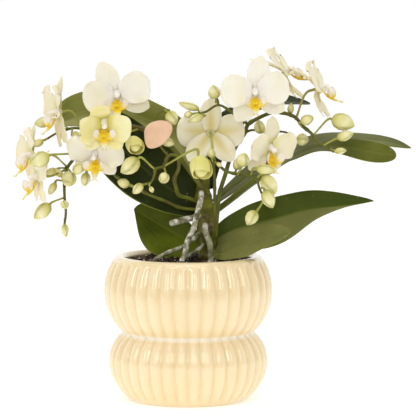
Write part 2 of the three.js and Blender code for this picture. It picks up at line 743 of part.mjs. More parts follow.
// A bare rounded tag in front of its stalk, with the open clip that grips the stalk.
function plantTag() {
  const { at, width, height, thick, clipRadius } = tag;
  const corner = (x, y) => [(x * width) / 2, (y * height) / 2];
  const outline = new THREE.Shape();
  outline.moveTo(...corner(-1, 0.1));
  outline.bezierCurveTo(...corner(-1, 0.7), ...corner(-0.4, 1), ...corner(0.2, 1));
  outline.bezierCurveTo(...corner(0.8, 1), ...corner(1.05, 0.7), ...corner(1, 0.35));
  outline.bezierCurveTo(...corner(0.9, -0.3), ...corner(0.2, -1), ...corner(-0.5, -1));
  outline.bezierCurveTo(...corner(-0.9, -1), ...corner(-1, -0.5), ...corner(-1, 0.1));
  const plate = new THREE.ExtrudeGeometry(outline, {
    depth: thick,
    bevelEnabled: false,
    curveSegments: 4,
  })
    .rotateX(Math.PI / 2)
    .translate(...at);
  const [stalkX, stalkY] = tag.stalk;
  const clip = [-150, -90, -30, 30].map((angle) => [
    stalkX + clipRadius * Math.cos(radians(angle)),
    stalkY + clipRadius * Math.sin(radians(angle)),
    at[2] + 6,
  ]);
  return solidOf(plate).add(tube({ route: clip, radius: [0.6, 0.6], steps: 2 }));
}

// ---------- materials ----------
const surface = (color, roughness, metalness = 0) =>
  new THREE.MeshStandardMaterial({ color, roughness, metalness, side: THREE.DoubleSide });
const materials = {
  glaze: surface("#fae5bd", 0.18),
  plastic: surface("#4a3a30", 0.5),
  bark: surface("#3f2d20", 0.9),
  stem: surface("#71702b", 0.5),
  leaf: surface("#4e541e", 0.4),
  root: surface("#8c8a72", 0.75),
  spike: surface("#8f9440", 0.5),
  tepal: surface("#f6f1de", 0.55),
  lip: surface("#efce38", 0.5),
  opening: surface("#e6dc86", 0.5),
  tag: surface("#edc4a4", 0.6),
};

// ---------- the whole ----------
const orchid = new THREE.Group();
const placed = [];

const touching = (a, b) =>
  [0, 1, 2].every((k) => a.min[k] < b.max[k] && b.min[k] < a.max[k]);

// Adds a piece. It gives way, by the gap, to every piece that was placed before it.
function place(name, material, build) {
  let solid = build(0);
  const box = solid.boundingBox();
  for (const other of placed) {
    if (touching(box, other.box)) solid = solid.subtract(other.grown);
  }
  solid = oneBody(solid);
  const grown = build(gap);
  placed.push({ grown, box: grown.boundingBox() });
  const mesh = new THREE.Mesh(geometryOf(solid), material);
  mesh.name = name;
  orchid.add(mesh);
}

function placeAll(specs, material, build) {
  for (const [name, spec] of Object.entries(specs)) {
    place(name, material, (grow) => build(spec, grow));
  }
}

place("stem", materials.stem, (grow) => tube(stem, grow));
placeAll(roots, materials.root, (root, grow) => tube({ ...root, sides: 6 }, grow));
placeAll(spikes, materials.spike, spike);
placeAll(leaves, materials.leaf, leaf);
placeAll(openingBlooms, materials.opening, openingBloom);
placeAll(blooms, materials.tepal, bloom);
for (const [name, spec] of Object.entries(blooms)) {
  place(name.replace("bloom", "lip"), materials.lip, (grow) => lip(spec, grow));
}
place("tag", materials.tag, plantTag);
place("grow_pot", materials.plastic, growingPot);
place("bark", materials.bark, bark);
place("pot", materials.glaze, pot);

export default orchid;
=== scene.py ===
import math
import random

import bmesh
import bpy
import numpy as np
from mathutils import Matrix, Vector


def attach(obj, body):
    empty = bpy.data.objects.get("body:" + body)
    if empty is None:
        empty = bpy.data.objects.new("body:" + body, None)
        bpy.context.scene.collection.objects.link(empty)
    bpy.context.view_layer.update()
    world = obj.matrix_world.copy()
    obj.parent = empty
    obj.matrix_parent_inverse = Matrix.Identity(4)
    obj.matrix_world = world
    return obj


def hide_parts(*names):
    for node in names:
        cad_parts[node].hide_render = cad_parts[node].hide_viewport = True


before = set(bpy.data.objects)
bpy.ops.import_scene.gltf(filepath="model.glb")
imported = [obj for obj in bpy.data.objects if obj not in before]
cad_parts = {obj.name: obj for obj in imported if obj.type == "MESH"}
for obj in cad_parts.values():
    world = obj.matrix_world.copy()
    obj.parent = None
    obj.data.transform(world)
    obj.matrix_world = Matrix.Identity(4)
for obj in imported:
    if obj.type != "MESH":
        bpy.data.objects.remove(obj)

# A small many-flowered moth orchid in a ribbed, glazed pot with a waist.
# Shapes are worked out in millimetres, +Z up, and become metres in their meshes.
metres = 0.001
joinWithin = 0.004  # points of a piece that are nearer than this become one
waistHeight = 51.4  # where the pot's two bellies meet
firstSeeds = {"flecks": 20, "blooms": 30, "spikes": 90}
scene = bpy.context.scene
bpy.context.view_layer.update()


def linearColour(hexColour):
    channels = [int(hexColour[i:i + 2], 16) / 255 for i in (1, 3, 5)]
    curve = [c / 12.92 if c <= 0.04045 else ((c + 0.055) / 1.055) ** 2.4 for c in channels]
    return (*curve, 1.0)


# Adds a node with its settings, then links or fills its inputs. A node given as an input
# is linked by its first output in use, and "#rrggbb" is turned into a linear colour.
def addNode(tree, kind, settings=None, inputs=None):
    node = tree.nodes.new(kind)
    for key, value in (settings or {}).items():
        if key == "stops":
            elements = node.color_ramp.elements
            while len(elements) < len(value):
                elements.new(0.5)
            for element, (place, colour) in zip(elements, value):
                element.position, element.color = place, linearColour(colour)
        else:
            setattr(node, key, value)
    for key, value in (inputs or {}).items():
        if isinstance(value, bpy.types.Node):
            value = next(output for output in value.outputs if output.enabled)
        if isinstance(value, bpy.types.NodeSocket):
            tree.links.new(value, node.inputs[key])
        elif isinstance(value, str) and value.startswith("#"):
            node.inputs[key].default_value = linearColour(value)
        else:
            node.inputs[key].default_value = value
    return node


# settings that many nodes share
colourMix = {"data_type": "RGBA"}
eased = {"interpolation_type": "SMOOTHSTEP"}
multiply = {"operation": "MULTIPLY"}
subtract = {"operation": "SUBTRACT"}
absolute = {"operation": "ABSOLUTE"}
scaled = {"operation": "SCALE"}


# A geometry tree with named inputs; also returns its entry and the inputs' identifiers.
def newTree(name, **kinds):
    tree = bpy.data.node_groups.new(name, "GeometryNodeTree")
    face = tree.interface
    face.new_socket("Geometry", in_out="INPUT", socket_type="NodeSocketGeometry")
    sockets = {}
    for key, kind in kinds.items():
        made = face.new_socket(key, in_out="INPUT", socket_type="NodeSocket" + kind)
        sockets[key] = made.identifier
    face.new_socket("Geometry", in_out="OUTPUT", socket_type="NodeSocketGeometry")
    return tree, addNode(tree, "NodeGroupInput").outputs, sockets


# Ends a geometry tree: all copies made real, one material on them.
def closeTree(tree, geometry, material):
    real = addNode(tree, "GeometryNodeRealizeInstances", None, {0: geometry})
    coated = addNode(tree, "GeometryNodeSetMaterial", None,
                     {"Geometry": real, "Material": material})
    addNode(tree, "NodeGroupOutput", None, {"Geometry": coated})


# A smooth line through the points, cut at the given shares of its length.
def smoothRoute(points, shares):
    cuts = 14  # steps from each point to the next
    p = np.array(points, float)
    p = np.vstack([2 * p[0] - p[1], p, 2 * p[-1] - p[-2]])
    line = []
    for a, b, c, d in zip(p, p[1:], p[2:], p[3:]):
        gaps = [max(np.linalg.norm(v), 1e-4) ** 0.5 for v in (b - a, c - b, d - c)]
        t0, t1, t2, t3 = np.cumsum([0] + gaps)
        for t in np.linspace(t1, t2, cuts, endpoint=False):
            ab = ((t1 - t) * a + (t - t0) * b) / (t1 - t0)
            bc = ((t2 - t) * b + (t - t1) * c) / (t2 - t1)
            cd = ((t3 - t) * c + (t - t2) * d) / (t3 - t2)
            abc = ((t2 - t) * ab + (t - t0) * bc) / (t2 - t0)
            bcd = ((t3 - t) * bc + (t - t1) * cd) / (t3 - t1)
            line.append(((t2 - t) * abc + (t - t1) * bcd) / (t2 - t1))
    line = np.array(line + [p[-2]])
    steps = np.linalg.norm(np.diff(line, axis=0), axis=1)
    reach = np.concatenate([[0], np.cumsum(steps)])
    wanted = np.asarray(shares) * reach[-1]
    return np.stack([np.interp(wanted, reach, line[:, k]) for k in range(3)], axis=1)


# Rows of vectors, or one, made one long.
def unit(rows):
    return rows / np.maximum(np.linalg.norm(rows, axis=-1, keepdims=True), 1e-9)


# Rings of a turned shape from its rows of (radius, height).
def turned(rows, around):
    angles = np.linspace(0, 2 * math.pi, around, endpoint=False)
    ring = np.stack([np.cos(angles), np.sin(angles), np.zeros(around)], axis=1)
    return [ring * radius + [0, 0, height] for radius, height in rows]


# One mesh in the making: rings of points are skinned into closed shells.
class Shells:
    def __init__(self):
        self.points, self.faces, self.grain, self.finish = [], [], [], []

    # grain holds three numbers a point: across the piece, along it, and which side
    def addRings(self, rings, grain=None, finish=0):
        rings = np.asarray(rings, float)
        rows, around = rings.shape[:2]
        start = len(self.points)
        self.points += rings.reshape(-1, 3).tolist()
        if grain is None:
            grain = np.zeros((rows, around, 3))
            grain[..., 1] = np.linspace(0, 1, rows)[:, None]
        grain = np.asarray(grain, float)
        self.grain += grain.reshape(-1, 3).tolist()
        at = lambda row, k: start + row * around + k % around
        faces = [(at(r, k), at(r, k + 1), at(r + 1, k + 1), at(r + 1, k))
                 for r in range(rows - 1) for k in range(around)]
        for row, turn in ((0, -1), (rows - 1, 1)):
            middle = len(self.points)
            self.points.append(rings[row].mean(axis=0).tolist())
            self.grain.append(grain[row].mean(axis=0).tolist())
            faces += [(at(row, k), at(row, k + 1), middle)[::turn] for k in range(around)]
        self.faces += faces
        self.finish += [finish] * len(faces)

    # A round skin along middle points with a radius for each.
    def addTube(self, middles, radii, sides, finish=0, form=None, grain=None):
        middles = np.asarray(middles, float)
        along = unit(np.gradient(middles, axis=0))
        across = np.array([0.31, 0.17, 0.93])  # any start; each step sets it square to the path
        rings, grains = [], []
        angles = np.linspace(0, 2 * math.pi, sides, endpoint=False)
        for i, (middle, radius) in enumerate(zip(middles, radii)):
            across = across - along[i] * across.dot(along[i])
            across /= np.linalg.norm(across)
            up = np.cross(along[i], across)
            share = i / (len(middles) - 1)
            wide = radius * (form(angles, share) if form else np.ones(sides))
            rings.append(middle + np.outer(wide * np.cos(angles), across)
                         + np.outer(wide * np.sin(angles), up))
            grains.append([grain(a, share) if grain else (0, share, 0) for a in angles])
        self.addRings(rings, grains, finish)

    # A thin blade: its upper and lower side meet in a rounded edge. lift(reach, share, wide)
    # raises a column of it, and wrap(share, wide) lays the column round an axis instead.
    def addBlade(self, centre, faces, widths, thick, lift, columns, finish=0, wrap=None):
        centre = np.asarray(centre, float)
        along = unit(np.gradient(centre, axis=0))
        side = unit(np.cross(faces, along))
        normal = np.cross(along, side)
        shares = np.sin(np.linspace(-1, 1, columns + 1) * math.pi / 2)
        rows = len(centre)
        reach = np.linspace(0, 1, rows)
        upper = np.zeros((rows, columns + 1, 3))
        lower = upper.copy()
        for k, share in enumerate(shares):
            wide = widths[0 if share < 0 else 1]
            rim = math.sqrt(max(0.0, 1 - abs(share) ** 5))  # full until close to the edge
            tip = np.sqrt(np.clip(wide / (0.35 * wide.max()), 0, 1))  # thinner where it narrows
            if wrap:
                body, out = wrap(share, wide)
            else:
                rise = lift(reach, share, wide)
                body = centre + side * (share * wide)[:, None] + normal * rise[:, None]
                out = normal
            half = (thick / 2 * rim * tip)[:, None]
            upper[:, k] = body + out * half
            lower[:, k] = body - out * half
        ring = np.concatenate([upper, lower[:, ::-1]], axis=1)
        grain = np.zeros(ring.shape)
        both = np.concatenate([shares, shares[::-1]])
        grain[..., 0] = both[None, :]
        grain[..., 1] = reach[:, None]
        grain[:, columns + 1:, 2] = 1
        self.addRings(ring, grain, finish)

    # Moves what is made so far.
    def turn(self, matrix):
        self.points = [list(matrix @ Vector(p)) for p in self.points]

    # The finished piece, in metres, riding on the one body.
    def piece(self, name, materials, nodes, slotName):
        mesh = bpy.data.meshes.new(name)
        mesh.from_pydata([[c * metres for c in p] for p in self.points], [], self.faces)
        mesh.polygons.foreach_set("material_index", self.finish)
        layer = mesh.attributes.new("grain", "FLOAT_VECTOR", "POINT")
        layer.data.foreach_set("vector", np.array(self.grain, np.float32).ravel())
        form = bmesh.new()
        form.from_mesh(mesh)
        bmesh.ops.remove_doubles(form, verts=form.verts, dist=joinWithin * metres)
        bmesh.ops.dissolve_degenerate(form, edges=form.edges, dist=1e-7)
        bmesh.ops.recalc_face_normals(form, faces=form.faces)
        form.to_mesh(mesh)
        form.free()
        for material in materials:
            mesh.materials.append(material)
        mesh.shade_smooth()
        return settle(bpy.data.objects.new(name, mesh), nodes)


# Puts a piece in the scene and says where it belongs.
def settle(piece, nodes):
    if piece.name not in scene.collection.objects:
        scene.collection.objects.link(piece)
    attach(piece, "root")
    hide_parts(*nodes)
    return piece


def newMaterial(name):
    material = bpy.data.materials.new(name)
    material.use_nodes = True
    material.node_tree.nodes.clear()
    return material, material.node_tree


# Ends a material: its shader with fixed sockets, its bump and its output.
def closeMaterial(tree, inputs, height=None, bump=(0.3, 0.0005)):
    if height is not None:
        inputs["Normal"] = addNode(tree, "ShaderNodeBump", None,
                                   {"Strength": bump[0], "Distance": bump[1], "Height": height})
    shader = addNode(tree, "ShaderNodeBsdfPrincipled", None, inputs)
    addNode(tree, "ShaderNodeOutputMaterial", None, {"Surface": shader})


# Cloudy patches on Object coordinates; size is their width in millimetres.
def patches(tree, size, detail=3.0, stretch=(1, 1, 1)):
    place = addNode(tree, "ShaderNodeTexCoord").outputs["Object"]
    turned = addNode(tree, "ShaderNodeMapping", None, {"Vector": place, "Scale": stretch})
    return addNode(tree, "ShaderNodeTexNoise", None,
                   {"Vector": turned, "Scale": 1 / (size * metres), "Detail": detail})


# A colour that wanders from stop to stop in such patches.
def mottled(tree, stops, *patchSizes):
    return addNode(tree, "ShaderNodeValToRGB", {"stops": stops},
                   {"Fac": patches(tree, *patchSizes)})


# Spots of another colour over the one below: from none to most where the patches rise
# through the span.
def spotted(tree, below, colour, most, span, *patchSizes):
    share = addNode(tree, "ShaderNodeMapRange", None,
                    {"Value": patches(tree, *patchSizes), "From Min": span[0],
                     "From Max": span[1], "To Max": most})
    return addNode(tree, "ShaderNodeMix", colourMix, {0: share, 6: below, 7: colour})


# The three numbers that each point of a blade or bud carries.
def grainOf(tree):
    layer = addNode(tree, "ShaderNodeAttribute", {"attribute_name": "grain"})
    parts = addNode(tree, "ShaderNodeSeparateXYZ", None, {"Vector": layer.outputs["Vector"]})
    return parts.outputs["X"], parts.outputs["Y"], parts.outputs["Z"]


# Veins that run along a blade and branch a little on the way.
def veins(tree, across, along, lines, wander=1.5):
    sideways = addNode(tree, "ShaderNodeMath", multiply, {0: across, 1: lines})
    onwards = addNode(tree, "ShaderNodeMath", multiply, {0: along, 1: 3.0})
    place = addNode(tree, "ShaderNodeCombineXYZ", None, {"X": sideways, "Y": onwards})
    return addNode(tree, "ShaderNodeTexNoise", None,
                   {"Vector": place, "Scale": 1.0, "Detail": 3.0, "Distortion": wander})


# Glazed earthenware: a warm cream glaze over a pale body. The eye sees an even, glossy
# skin, yellower and darker in the grooves the deeper they are, with a slow ripple in its lights.
def creamGlaze():
    material, tree = newMaterial("creamGlaze")
    groove = addNode(tree, "ShaderNodeAttribute", {"attribute_name": "groove"}).outputs["Fac"]
    even = mottled(tree, [(0.3, "#f2daaa"), (0.7, "#f6e0b4")], 28)
    # the grooves are painted darker and yellower by their depth
    grooveShare = addNode(tree, "ShaderNodeMapRange", None,
                   {"Value": groove, "From Min": 0.1, "To Max": 0.4})
    grooveToned = addNode(tree, "ShaderNodeMix", colourMix, {0: grooveShare, 6: even, 7: "#e4c88c"})
    # the glaze's specks are 0.3 mm wide and are drawn at 1.5 mm
    specked = spotted(tree, grooveToned, "#c9a873", 0.2, (0.68, 0.74), 1.5, 1)
    # painted highlight: the glaze is painted paler within 3 mm of the waist's middle, where thick
    # glaze glints in the light
    place = addNode(tree, "ShaderNodeTexCoord").outputs["Object"]
    height = addNode(tree, "ShaderNodeSeparateXYZ", None, {"Vector": place}).outputs["Z"]
    fromWaist = addNode(tree, "ShaderNodeMath", subtract, {0: height, 1: waistHeight * metres})
    offWaist = addNode(tree, "ShaderNodeMath", absolute, {0: fromWaist})
    paintedWaistHighlight = addNode(tree, "ShaderNodeMapRange", eased,
                    {"Value": offWaist, "From Max": 0.003, "To Min": 0.95, "To Max": 0.0})
    colour = addNode(tree, "ShaderNodeMix", colourMix, {0: paintedWaistHighlight, 6: specked, 7: "#fff6e2"})
    fine = addNode(tree, "ShaderNodeMath", multiply, {0: patches(tree, 3, 1), 1: 0.15})
    ripple = addNode(tree, "ShaderNodeMath", {"operation": "ADD"},
                     {0: patches(tree, 14, 2), 1: fine})
    sheen = addNode(tree, "ShaderNodeMapRange", None,
                    {"Value": patches(tree, 20), "To Min": 0.14, "To Max": 0.26})
    closeMaterial(tree, {"Base Color": colour, "Roughness": sheen, "IOR": 1.5,
                         "Specular IOR Level": 0.35, "Coat Weight": 0.8, "Coat IOR": 1.75,
                         "Coat Roughness": 0.05}, ripple, (0.12, 0.0012))
    return material


# Moulded polypropylene of the growing pot. The eye sees thin brown plastic, half matt.
def brownPlastic():
    material, tree = newMaterial("brownPlastic")
    colour = mottled(tree, [(0.35, "#3b2c22"), (0.65, "#4e3c2f")], 12)
    rough = addNode(tree, "ShaderNodeMapRange", None,
                    {"Value": patches(tree, 6), "To Min": 0.36, "To Max": 0.6})
    closeMaterial(tree, {"Base Color": colour, "Roughness": rough, "IOR": 1.49},
                  patches(tree, 1.2), (0.15, 0.0004))
    return material


# Pine bark: rough and layered, nearly black where it is wet, reddish on broken faces.
def pineBark():
    material, tree = newMaterial("pineBark")
    body = mottled(tree, [(0.3, "#120d09"), (0.5, "#2a1d14"), (0.62, "#523a29"),
                          (0.75, "#7d624a")], 5, 5, (1, 1, 2.5))
    dusty = spotted(tree, body, "#8f8270", 0.5, (0.6, 0.72), 2.2, 4)
    closeMaterial(tree, {"Base Color": dusty, "Roughness": 0.88, "IOR": 1.4},
                  patches(tree, 2, 6), (0.9, 0.0015))
    return material


# Perlite and dry moss between the chips: chalky grains, a little soiled.
def paleFlecks():
    material, tree = newMaterial("paleFlecks")
    colour = mottled(tree, [(0.35, "#9a9682"), (0.6, "#d6d2c2")], 2)
    closeMaterial(tree, {"Base Color": colour, "Roughness": 0.9, "IOR": 1.4},
                  patches(tree, 0.8, 4), (0.7, 0.0006))
    return material


# Stem: fleshy yellow-green skin, browned where old leaf bases have torn away.
def oldStem():
    material, tree = newMaterial("oldStem")
    green = mottled(tree, [(0.35, "#494c10"), (0.65, "#7c7c20")], 9)
    brown = mottled(tree, [(0.35, "#40331a"), (0.7, "#857547")], 3, 4)
    torn = spotted(tree, green, brown, 1.0, (0.48, 0.62), 11, 4, (1, 1, 2))
    closeMaterial(tree, {"Base Color": torn, "Roughness": 0.5, "IOR": 1.42,
                         "Specular IOR Level": 0.3},
                  patches(tree, 1.6, 4, (1, 1, 0.15)), (0.5, 0.0008))
    return material


# Aerial root: silvery, spongy skin over green, rubbed darker in places.
def silverRoot():
    material, tree = newMaterial("silverRoot")
    skin = mottled(tree, [(0.35, "#5e5a3e"), (0.48, "#a29e84"), (0.6, "#e2dfd2")], 5, 4)
    mossy = spotted(tree, skin, "#7a7d4a", 0.7, (0.5, 0.64), 17, 2)
    worn = spotted(tree, mossy, "#50482f", 0.7, (0.56, 0.66), 8)
    closeMaterial(tree, {"Base Color": worn, "Roughness": 0.62, "IOR": 1.38,
                         "Specular IOR Level": 0.35}, patches(tree, 1.4, 4), (0.55, 0.0006))
    return material


# Leaf: a waxy cuticle over dark green flesh. The eye sees a cloudy green, a paler midrib
# and rim, faint parallel veins, a paler underside and a broad soft sheen. A painted sheen
# greys the half that leans to the light; litSpan says from where to where across it grows so.
def waxyLeaf(name, deep, fresh, rib, gloss, lit, litSpan=(0.9, 1.4)):
    material, tree = newMaterial(name)
    across, along, under = grainOf(tree)
    body = mottled(tree, [(0.35, deep), (0.68, fresh)], 34, 4)
    # veins run 1.2 mm apart on the real leaf and are drawn at twice that
    lines = veins(tree, across, along, 16, 0.6)
    vein = addNode(tree, "ShaderNodeMapRange", None,
                   {"Value": lines, "From Min": 0.35, "From Max": 0.7, "To Max": 0.35})
    veined = addNode(tree, "ShaderNodeMix", colourMix, {0: vein, 6: body, 7: fresh})
    # painted sheen: the lit colour, greyer, laid over the half that leans to the light
    paintedSheenColour = addNode(tree, "ShaderNodeMix", colourMix, {0: 0.3, 6: lit, 7: veined})
    paintedSheenShare = addNode(tree, "ShaderNodeMapRange", eased,
                      {"Value": across, "From Min": litSpan[0], "From Max": litSpan[1]})
    withPaintedSheen = addNode(tree, "ShaderNodeMix", colourMix, {0: paintedSheenShare, 6: veined, 7: paintedSheenColour})
    offMiddle = addNode(tree, "ShaderNodeMath", absolute, {0: across})
    middle = addNode(tree, "ShaderNodeMapRange", None,
                     {"Value": offMiddle, "From Max": 0.05, "To Min": 0.5, "To Max": 0.0})
    ribbed = addNode(tree, "ShaderNodeMix", colourMix, {0: middle, 6: withPaintedSheen, 7: rib})
    edge = addNode(tree, "ShaderNodeMapRange", None, {"Value": offMiddle, "From Min": 0.955})
    rimmed = addNode(tree, "ShaderNodeMix", colourMix, {0: edge, 6: ribbed, 7: "#8d8f34"})
    below = addNode(tree, "ShaderNodeMix", colourMix, {0: 0.3, 6: rimmed, 7: "#77793a"})
    sided = addNode(tree, "ShaderNodeMix", colourMix, {0: under, 6: rimmed, 7: below})
    # a few pale specks of dust and mineral
    colour = spotted(tree, sided, "#c3c6a8", 0.5, (0.75, 0.79), 1.6, 1)
    sheen = addNode(tree, "ShaderNodeMapRange", None,
                    {"Value": patches(tree, 15), "To Min": gloss - 0.05, "To Max": gloss + 0.12})
    closeMaterial(tree, {"Base Color": colour, "Roughness": sheen, "IOR": 1.45,
                         "Specular IOR Level": 0.14}, lines, (0.22, 0.0006))
    return material


# Petal: thin soft tissue, lit through. The eye sees creamy white, warmer in clouds, a
# paler or greener heart, fine branching veins, and a dull yellower back.
def petalSkin(name, pale, warm, heart, back):
    material, tree = newMaterial(name)
    across, along, under = grainOf(tree)
    body = mottled(tree, [(0.35, pale), (0.7, warm)], 16)
    lines = veins(tree, across, along, 9)
    vein = addNode(tree, "ShaderNodeMapRange", None,
                   {"Value": lines, "From Min": 0.45, "From Max": 0.66, "To Max": 0.25})
    veined = addNode(tree, "ShaderNodeMix", colourMix, {0: vein, 6: body, 7: warm})
    near = addNode(tree, "ShaderNodeMapRange", eased,
                   {"Value": along, "From Min": 0.04, "From Max": 0.24, "To Min": 0.9,
                    "To Max": 0.0})
    front = addNode(tree, "ShaderNodeMix", colourMix, {0: near, 6: veined, 7: heart})
    # behind, a yellow flush spreads from the foot along the middle
    offMiddle = addNode(tree, "ShaderNodeMath", absolute, {0: across})
    spreadOut = addNode(tree, "ShaderNodeMath", {"operation": "ADD"}, {0: along, 1: offMiddle})
    flush = addNode(tree, "ShaderNodeMapRange", eased,
                    {"Value": spreadOut, "From Min": 0.1, "From Max": 1.0, "To Min": 0.95,
                     "To Max": 0.2})
    behind = addNode(tree, "ShaderNodeMix", colourMix, {0: flush, 6: veined, 7: back})
    colour = addNode(tree, "ShaderNodeMix", colourMix, {0: under, 6: front, 7: behind})
    closeMaterial(tree, {"Base Color": colour, "Roughness": 0.55, "IOR": 1.4,
                         "Specular IOR Level": 0.3, "Subsurface Weight": 0.2,
                         "Subsurface Radius": (1.0, 0.92, 0.75), "Subsurface Scale": 0.0015},
                  lines, (0.35, 0.0006))
    return material


# Column and hub of a bloom: waxy white, green where it meets its stalk.
def columnSkin():
    material, tree = newMaterial("columnSkin")
    _, along, _ = grainOf(tree)
    colour = addNode(tree, "ShaderNodeValToRGB",
                     {"stops": [(0.0, "#b9bd6a"), (0.25, "#eae5d2"), (0.6, "#f2ebe8"),
                                (1.0, "#f7f1e2")]}, {"Fac": along})
    closeMaterial(tree, {"Base Color": colour, "Roughness": 0.42, "IOR": 1.42,
                         "Specular IOR Level": 0.3, "Subsurface Weight": 0.2,
                         "Subsurface Radius": (1.0, 0.85, 0.7), "Subsurface Scale": 0.0015},
                  patches(tree, 2), (0.2, 0.0003))
    return material


# Lip: fleshy, bright yellow from its foot and flecked with orange, white to its tip.
# The side lobes keep a yellow outer edge, which fades at edgeReach of their length.
def lipSkin(name, stops, edgeReach):
    material, tree = newMaterial(name)
    across, along, _ = grainOf(tree)
    body = addNode(tree, "ShaderNodeValToRGB", {"stops": stops}, {"Fac": along})
    offMiddle = addNode(tree, "ShaderNodeMath", absolute, {0: across})
    edge = addNode(tree, "ShaderNodeMapRange", None,
                   {"Value": offMiddle, "From Min": 0.6, "From Max": 0.85})
    fading = addNode(tree, "ShaderNodeMapRange", None,
                     {"Value": along, "From Min": edgeReach - 0.15, "From Max": edgeReach + 0.1,
                      "To Min": 1.0, "To Max": 0.0})
    rim = addNode(tree, "ShaderNodeMath", multiply, {0: edge, 1: fading})
    rimmed = addNode(tree, "ShaderNodeMix", colourMix, {0: rim, 6: body, 7: "#f0cc22"})
    fleck = addNode(tree, "ShaderNodeMapRange", None,
                    {"Value": veins(tree, across, along, 7), "From Min": 0.58, "From Max": 0.66,
                     "To Max": 0.45})
    foot = addNode(tree, "ShaderNodeMapRange", None,
                   {"Value": along, "From Min": 0.1, "From Max": 0.45, "To Min": 1.0,
                    "To Max": 0.0})
    flecked = addNode(tree, "ShaderNodeMath", multiply, {0: fleck, 1: foot})
    colour = addNode(tree, "ShaderNodeMix", colourMix, {0: flecked, 6: rimmed, 7: "#dc8c18"})
    closeMaterial(tree, {"Base Color": colour, "Roughness": 0.45, "IOR": 1.42,
                         "Specular IOR Level": 0.3, "Subsurface Weight": 0.1,
                         "Subsurface Radius": (1.0, 0.8, 0.5), "Subsurface Scale": 0.001},
                  veins(tree, across, along, 8), (0.3, 0.0004))
    return material


# Bud: waxy sepals folded edge to edge, lime at base and tip, cream-yellow in the middle,
# darker in the seams.
def budSkin():
    material, tree = newMaterial("budSkin")
    seam, along, _ = grainOf(tree)
    body = addNode(tree, "ShaderNodeValToRGB",
                   {"stops": [(0.0, "#b0ad50"), (0.3, "#e2da92"), (0.65, "#f3ecbe"),
                              (1.0, "#cbc672")]}, {"Fac": along})
    clouded = spotted(tree, body, "#ddd58a", 0.5, (0.4, 0.65), 6)
    dark = addNode(tree, "ShaderNodeMath", multiply, {0: seam, 1: 0.75})
    colour = addNode(tree, "ShaderNodeMix", colourMix, {0: dark, 6: clouded, 7: "#8c8b34"})
    closeMaterial(tree, {"Base Color": colour, "Roughness": 0.45, "IOR": 1.42,
                         "Specular IOR Level": 0.35, "Subsurface Weight": 0.12,
                         "Subsurface Radius": (0.9, 0.8, 0.3), "Subsurface Scale": 0.0015},
                  patches(tree, 1.8), (0.25, 0.0004))
    return material


# Flower stem: smooth and olive green, brown where the sun has caught it.
def flowerStem(name, low, high, brown):
    material, tree = newMaterial(name)
    body = mottled(tree, [(0.3, low), (0.7, high)], 12)
    tanned = spotted(tree, body, brown, 0.75, (0.45, 0.65), 18)
    closeMaterial(tree, {"Base Color": tanned, "Roughness": 0.45, "IOR": 1.42,
                         "Specular IOR Level": 0.35}, patches(tree, 1.2), (0.25, 0.0003))
    return material


# Card of the tag: uncoated, peach, with a faint tooth.
def peachCard():
    material, tree = newMaterial("peachCard")
    colour = mottled(tree, [(0.35, "#e6bb98"), (0.7, "#eec7a6")], 7)
    closeMaterial(tree, {"Base Color": colour, "Roughness": 0.62, "IOR": 1.45},
                  patches(tree, 0.7), (0.25, 0.0002))
    return material


finishes = {
    "glaze": creamGlaze(),
    "plastic": brownPlastic(),
    "bark": pineBark(),
    "flecks": paleFlecks(),
    "stem": oldStem(),
    "root": silverRoot(),
    "leafDark": waxyLeaf("waxyLeafDark", "#161d04", "#2f3909", "#4c5220", 0.42, "#2f3909"),
    "leafFresh": waxyLeaf("waxyLeafFresh", "#3c4608", "#69740f", "#78821a", 0.42, "#6b7414"),
    # painted sheen: leaf_4's near half is painted grey-olive where light catches it
    "leafSheenHalf": waxyLeaf("waxyLeafTwoTone", "#39450a", "#4f5d10", "#6f7a22", 0.42, "#84844c",
                            (0.05, -0.1)),
    "leafOlive": waxyLeaf("waxyLeafOlive", "#4c5214", "#666a24", "#7d8030", 0.42, "#77793a"),
    # painted sheen: leaf_5 is painted grey-olive all over, as the light glancing off it looks
    "leafGreySheen": waxyLeaf("waxyLeafGrey", "#6a6d38", "#868748", "#8e8d4e", 0.46, "#8b8a52"),
    # painted sheen: leaf_1 is painted a paler olive, its lower half greyer still where light
    # catches it
    "leafSheen": waxyLeaf("waxyLeafSheen", "#6a6d26", "#878844", "#92924a", 0.4, "#a8a56c",
                          (0.1, 0.5)),
    "petal": petalSkin("petalSkin", "#faf5e6", "#f6eed4", "#f6efe4", "#dfce86"),
    "petalCream": petalSkin("petalSkinCream", "#f5edd4", "#eee3ba", "#e8e0a0", "#dccf90"),
    "petalYellow": petalSkin("petalSkinYellow", "#f8f0c0", "#f1e59c", "#dcd264", "#dfd47c"),
    "petalGreen": petalSkin("petalSkinGreen", "#ebe49a", "#dcd474", "#c4c252", "#d6cf6e"),
    "column": columnSkin(),
    "lip": lipSkin("lipSkin", [(0.0, "#e8bd20"), (0.5, "#f2d028"), (0.68, "#f2e6b0"),
                               (1.0, "#f4eddc")], 0.6),
    "lipWing": lipSkin("lipWing", [(0.0, "#edc522"), (0.22, "#f0d85c"), (0.4, "#f3ecdf"),
                                   (1.0, "#f5efe8")], 0.55),
    "bud": budSkin(),
    "flowerStem": flowerStem("flowerStem", "#4f5412", "#6f7222", "#5a4a1c"),
    "flowerStalk": flowerStem("flowerStalk", "#8d9238", "#b2b25a", "#9a8a3c"),
    "tag": peachCard(),
}
print("materials made:", len(finishes))

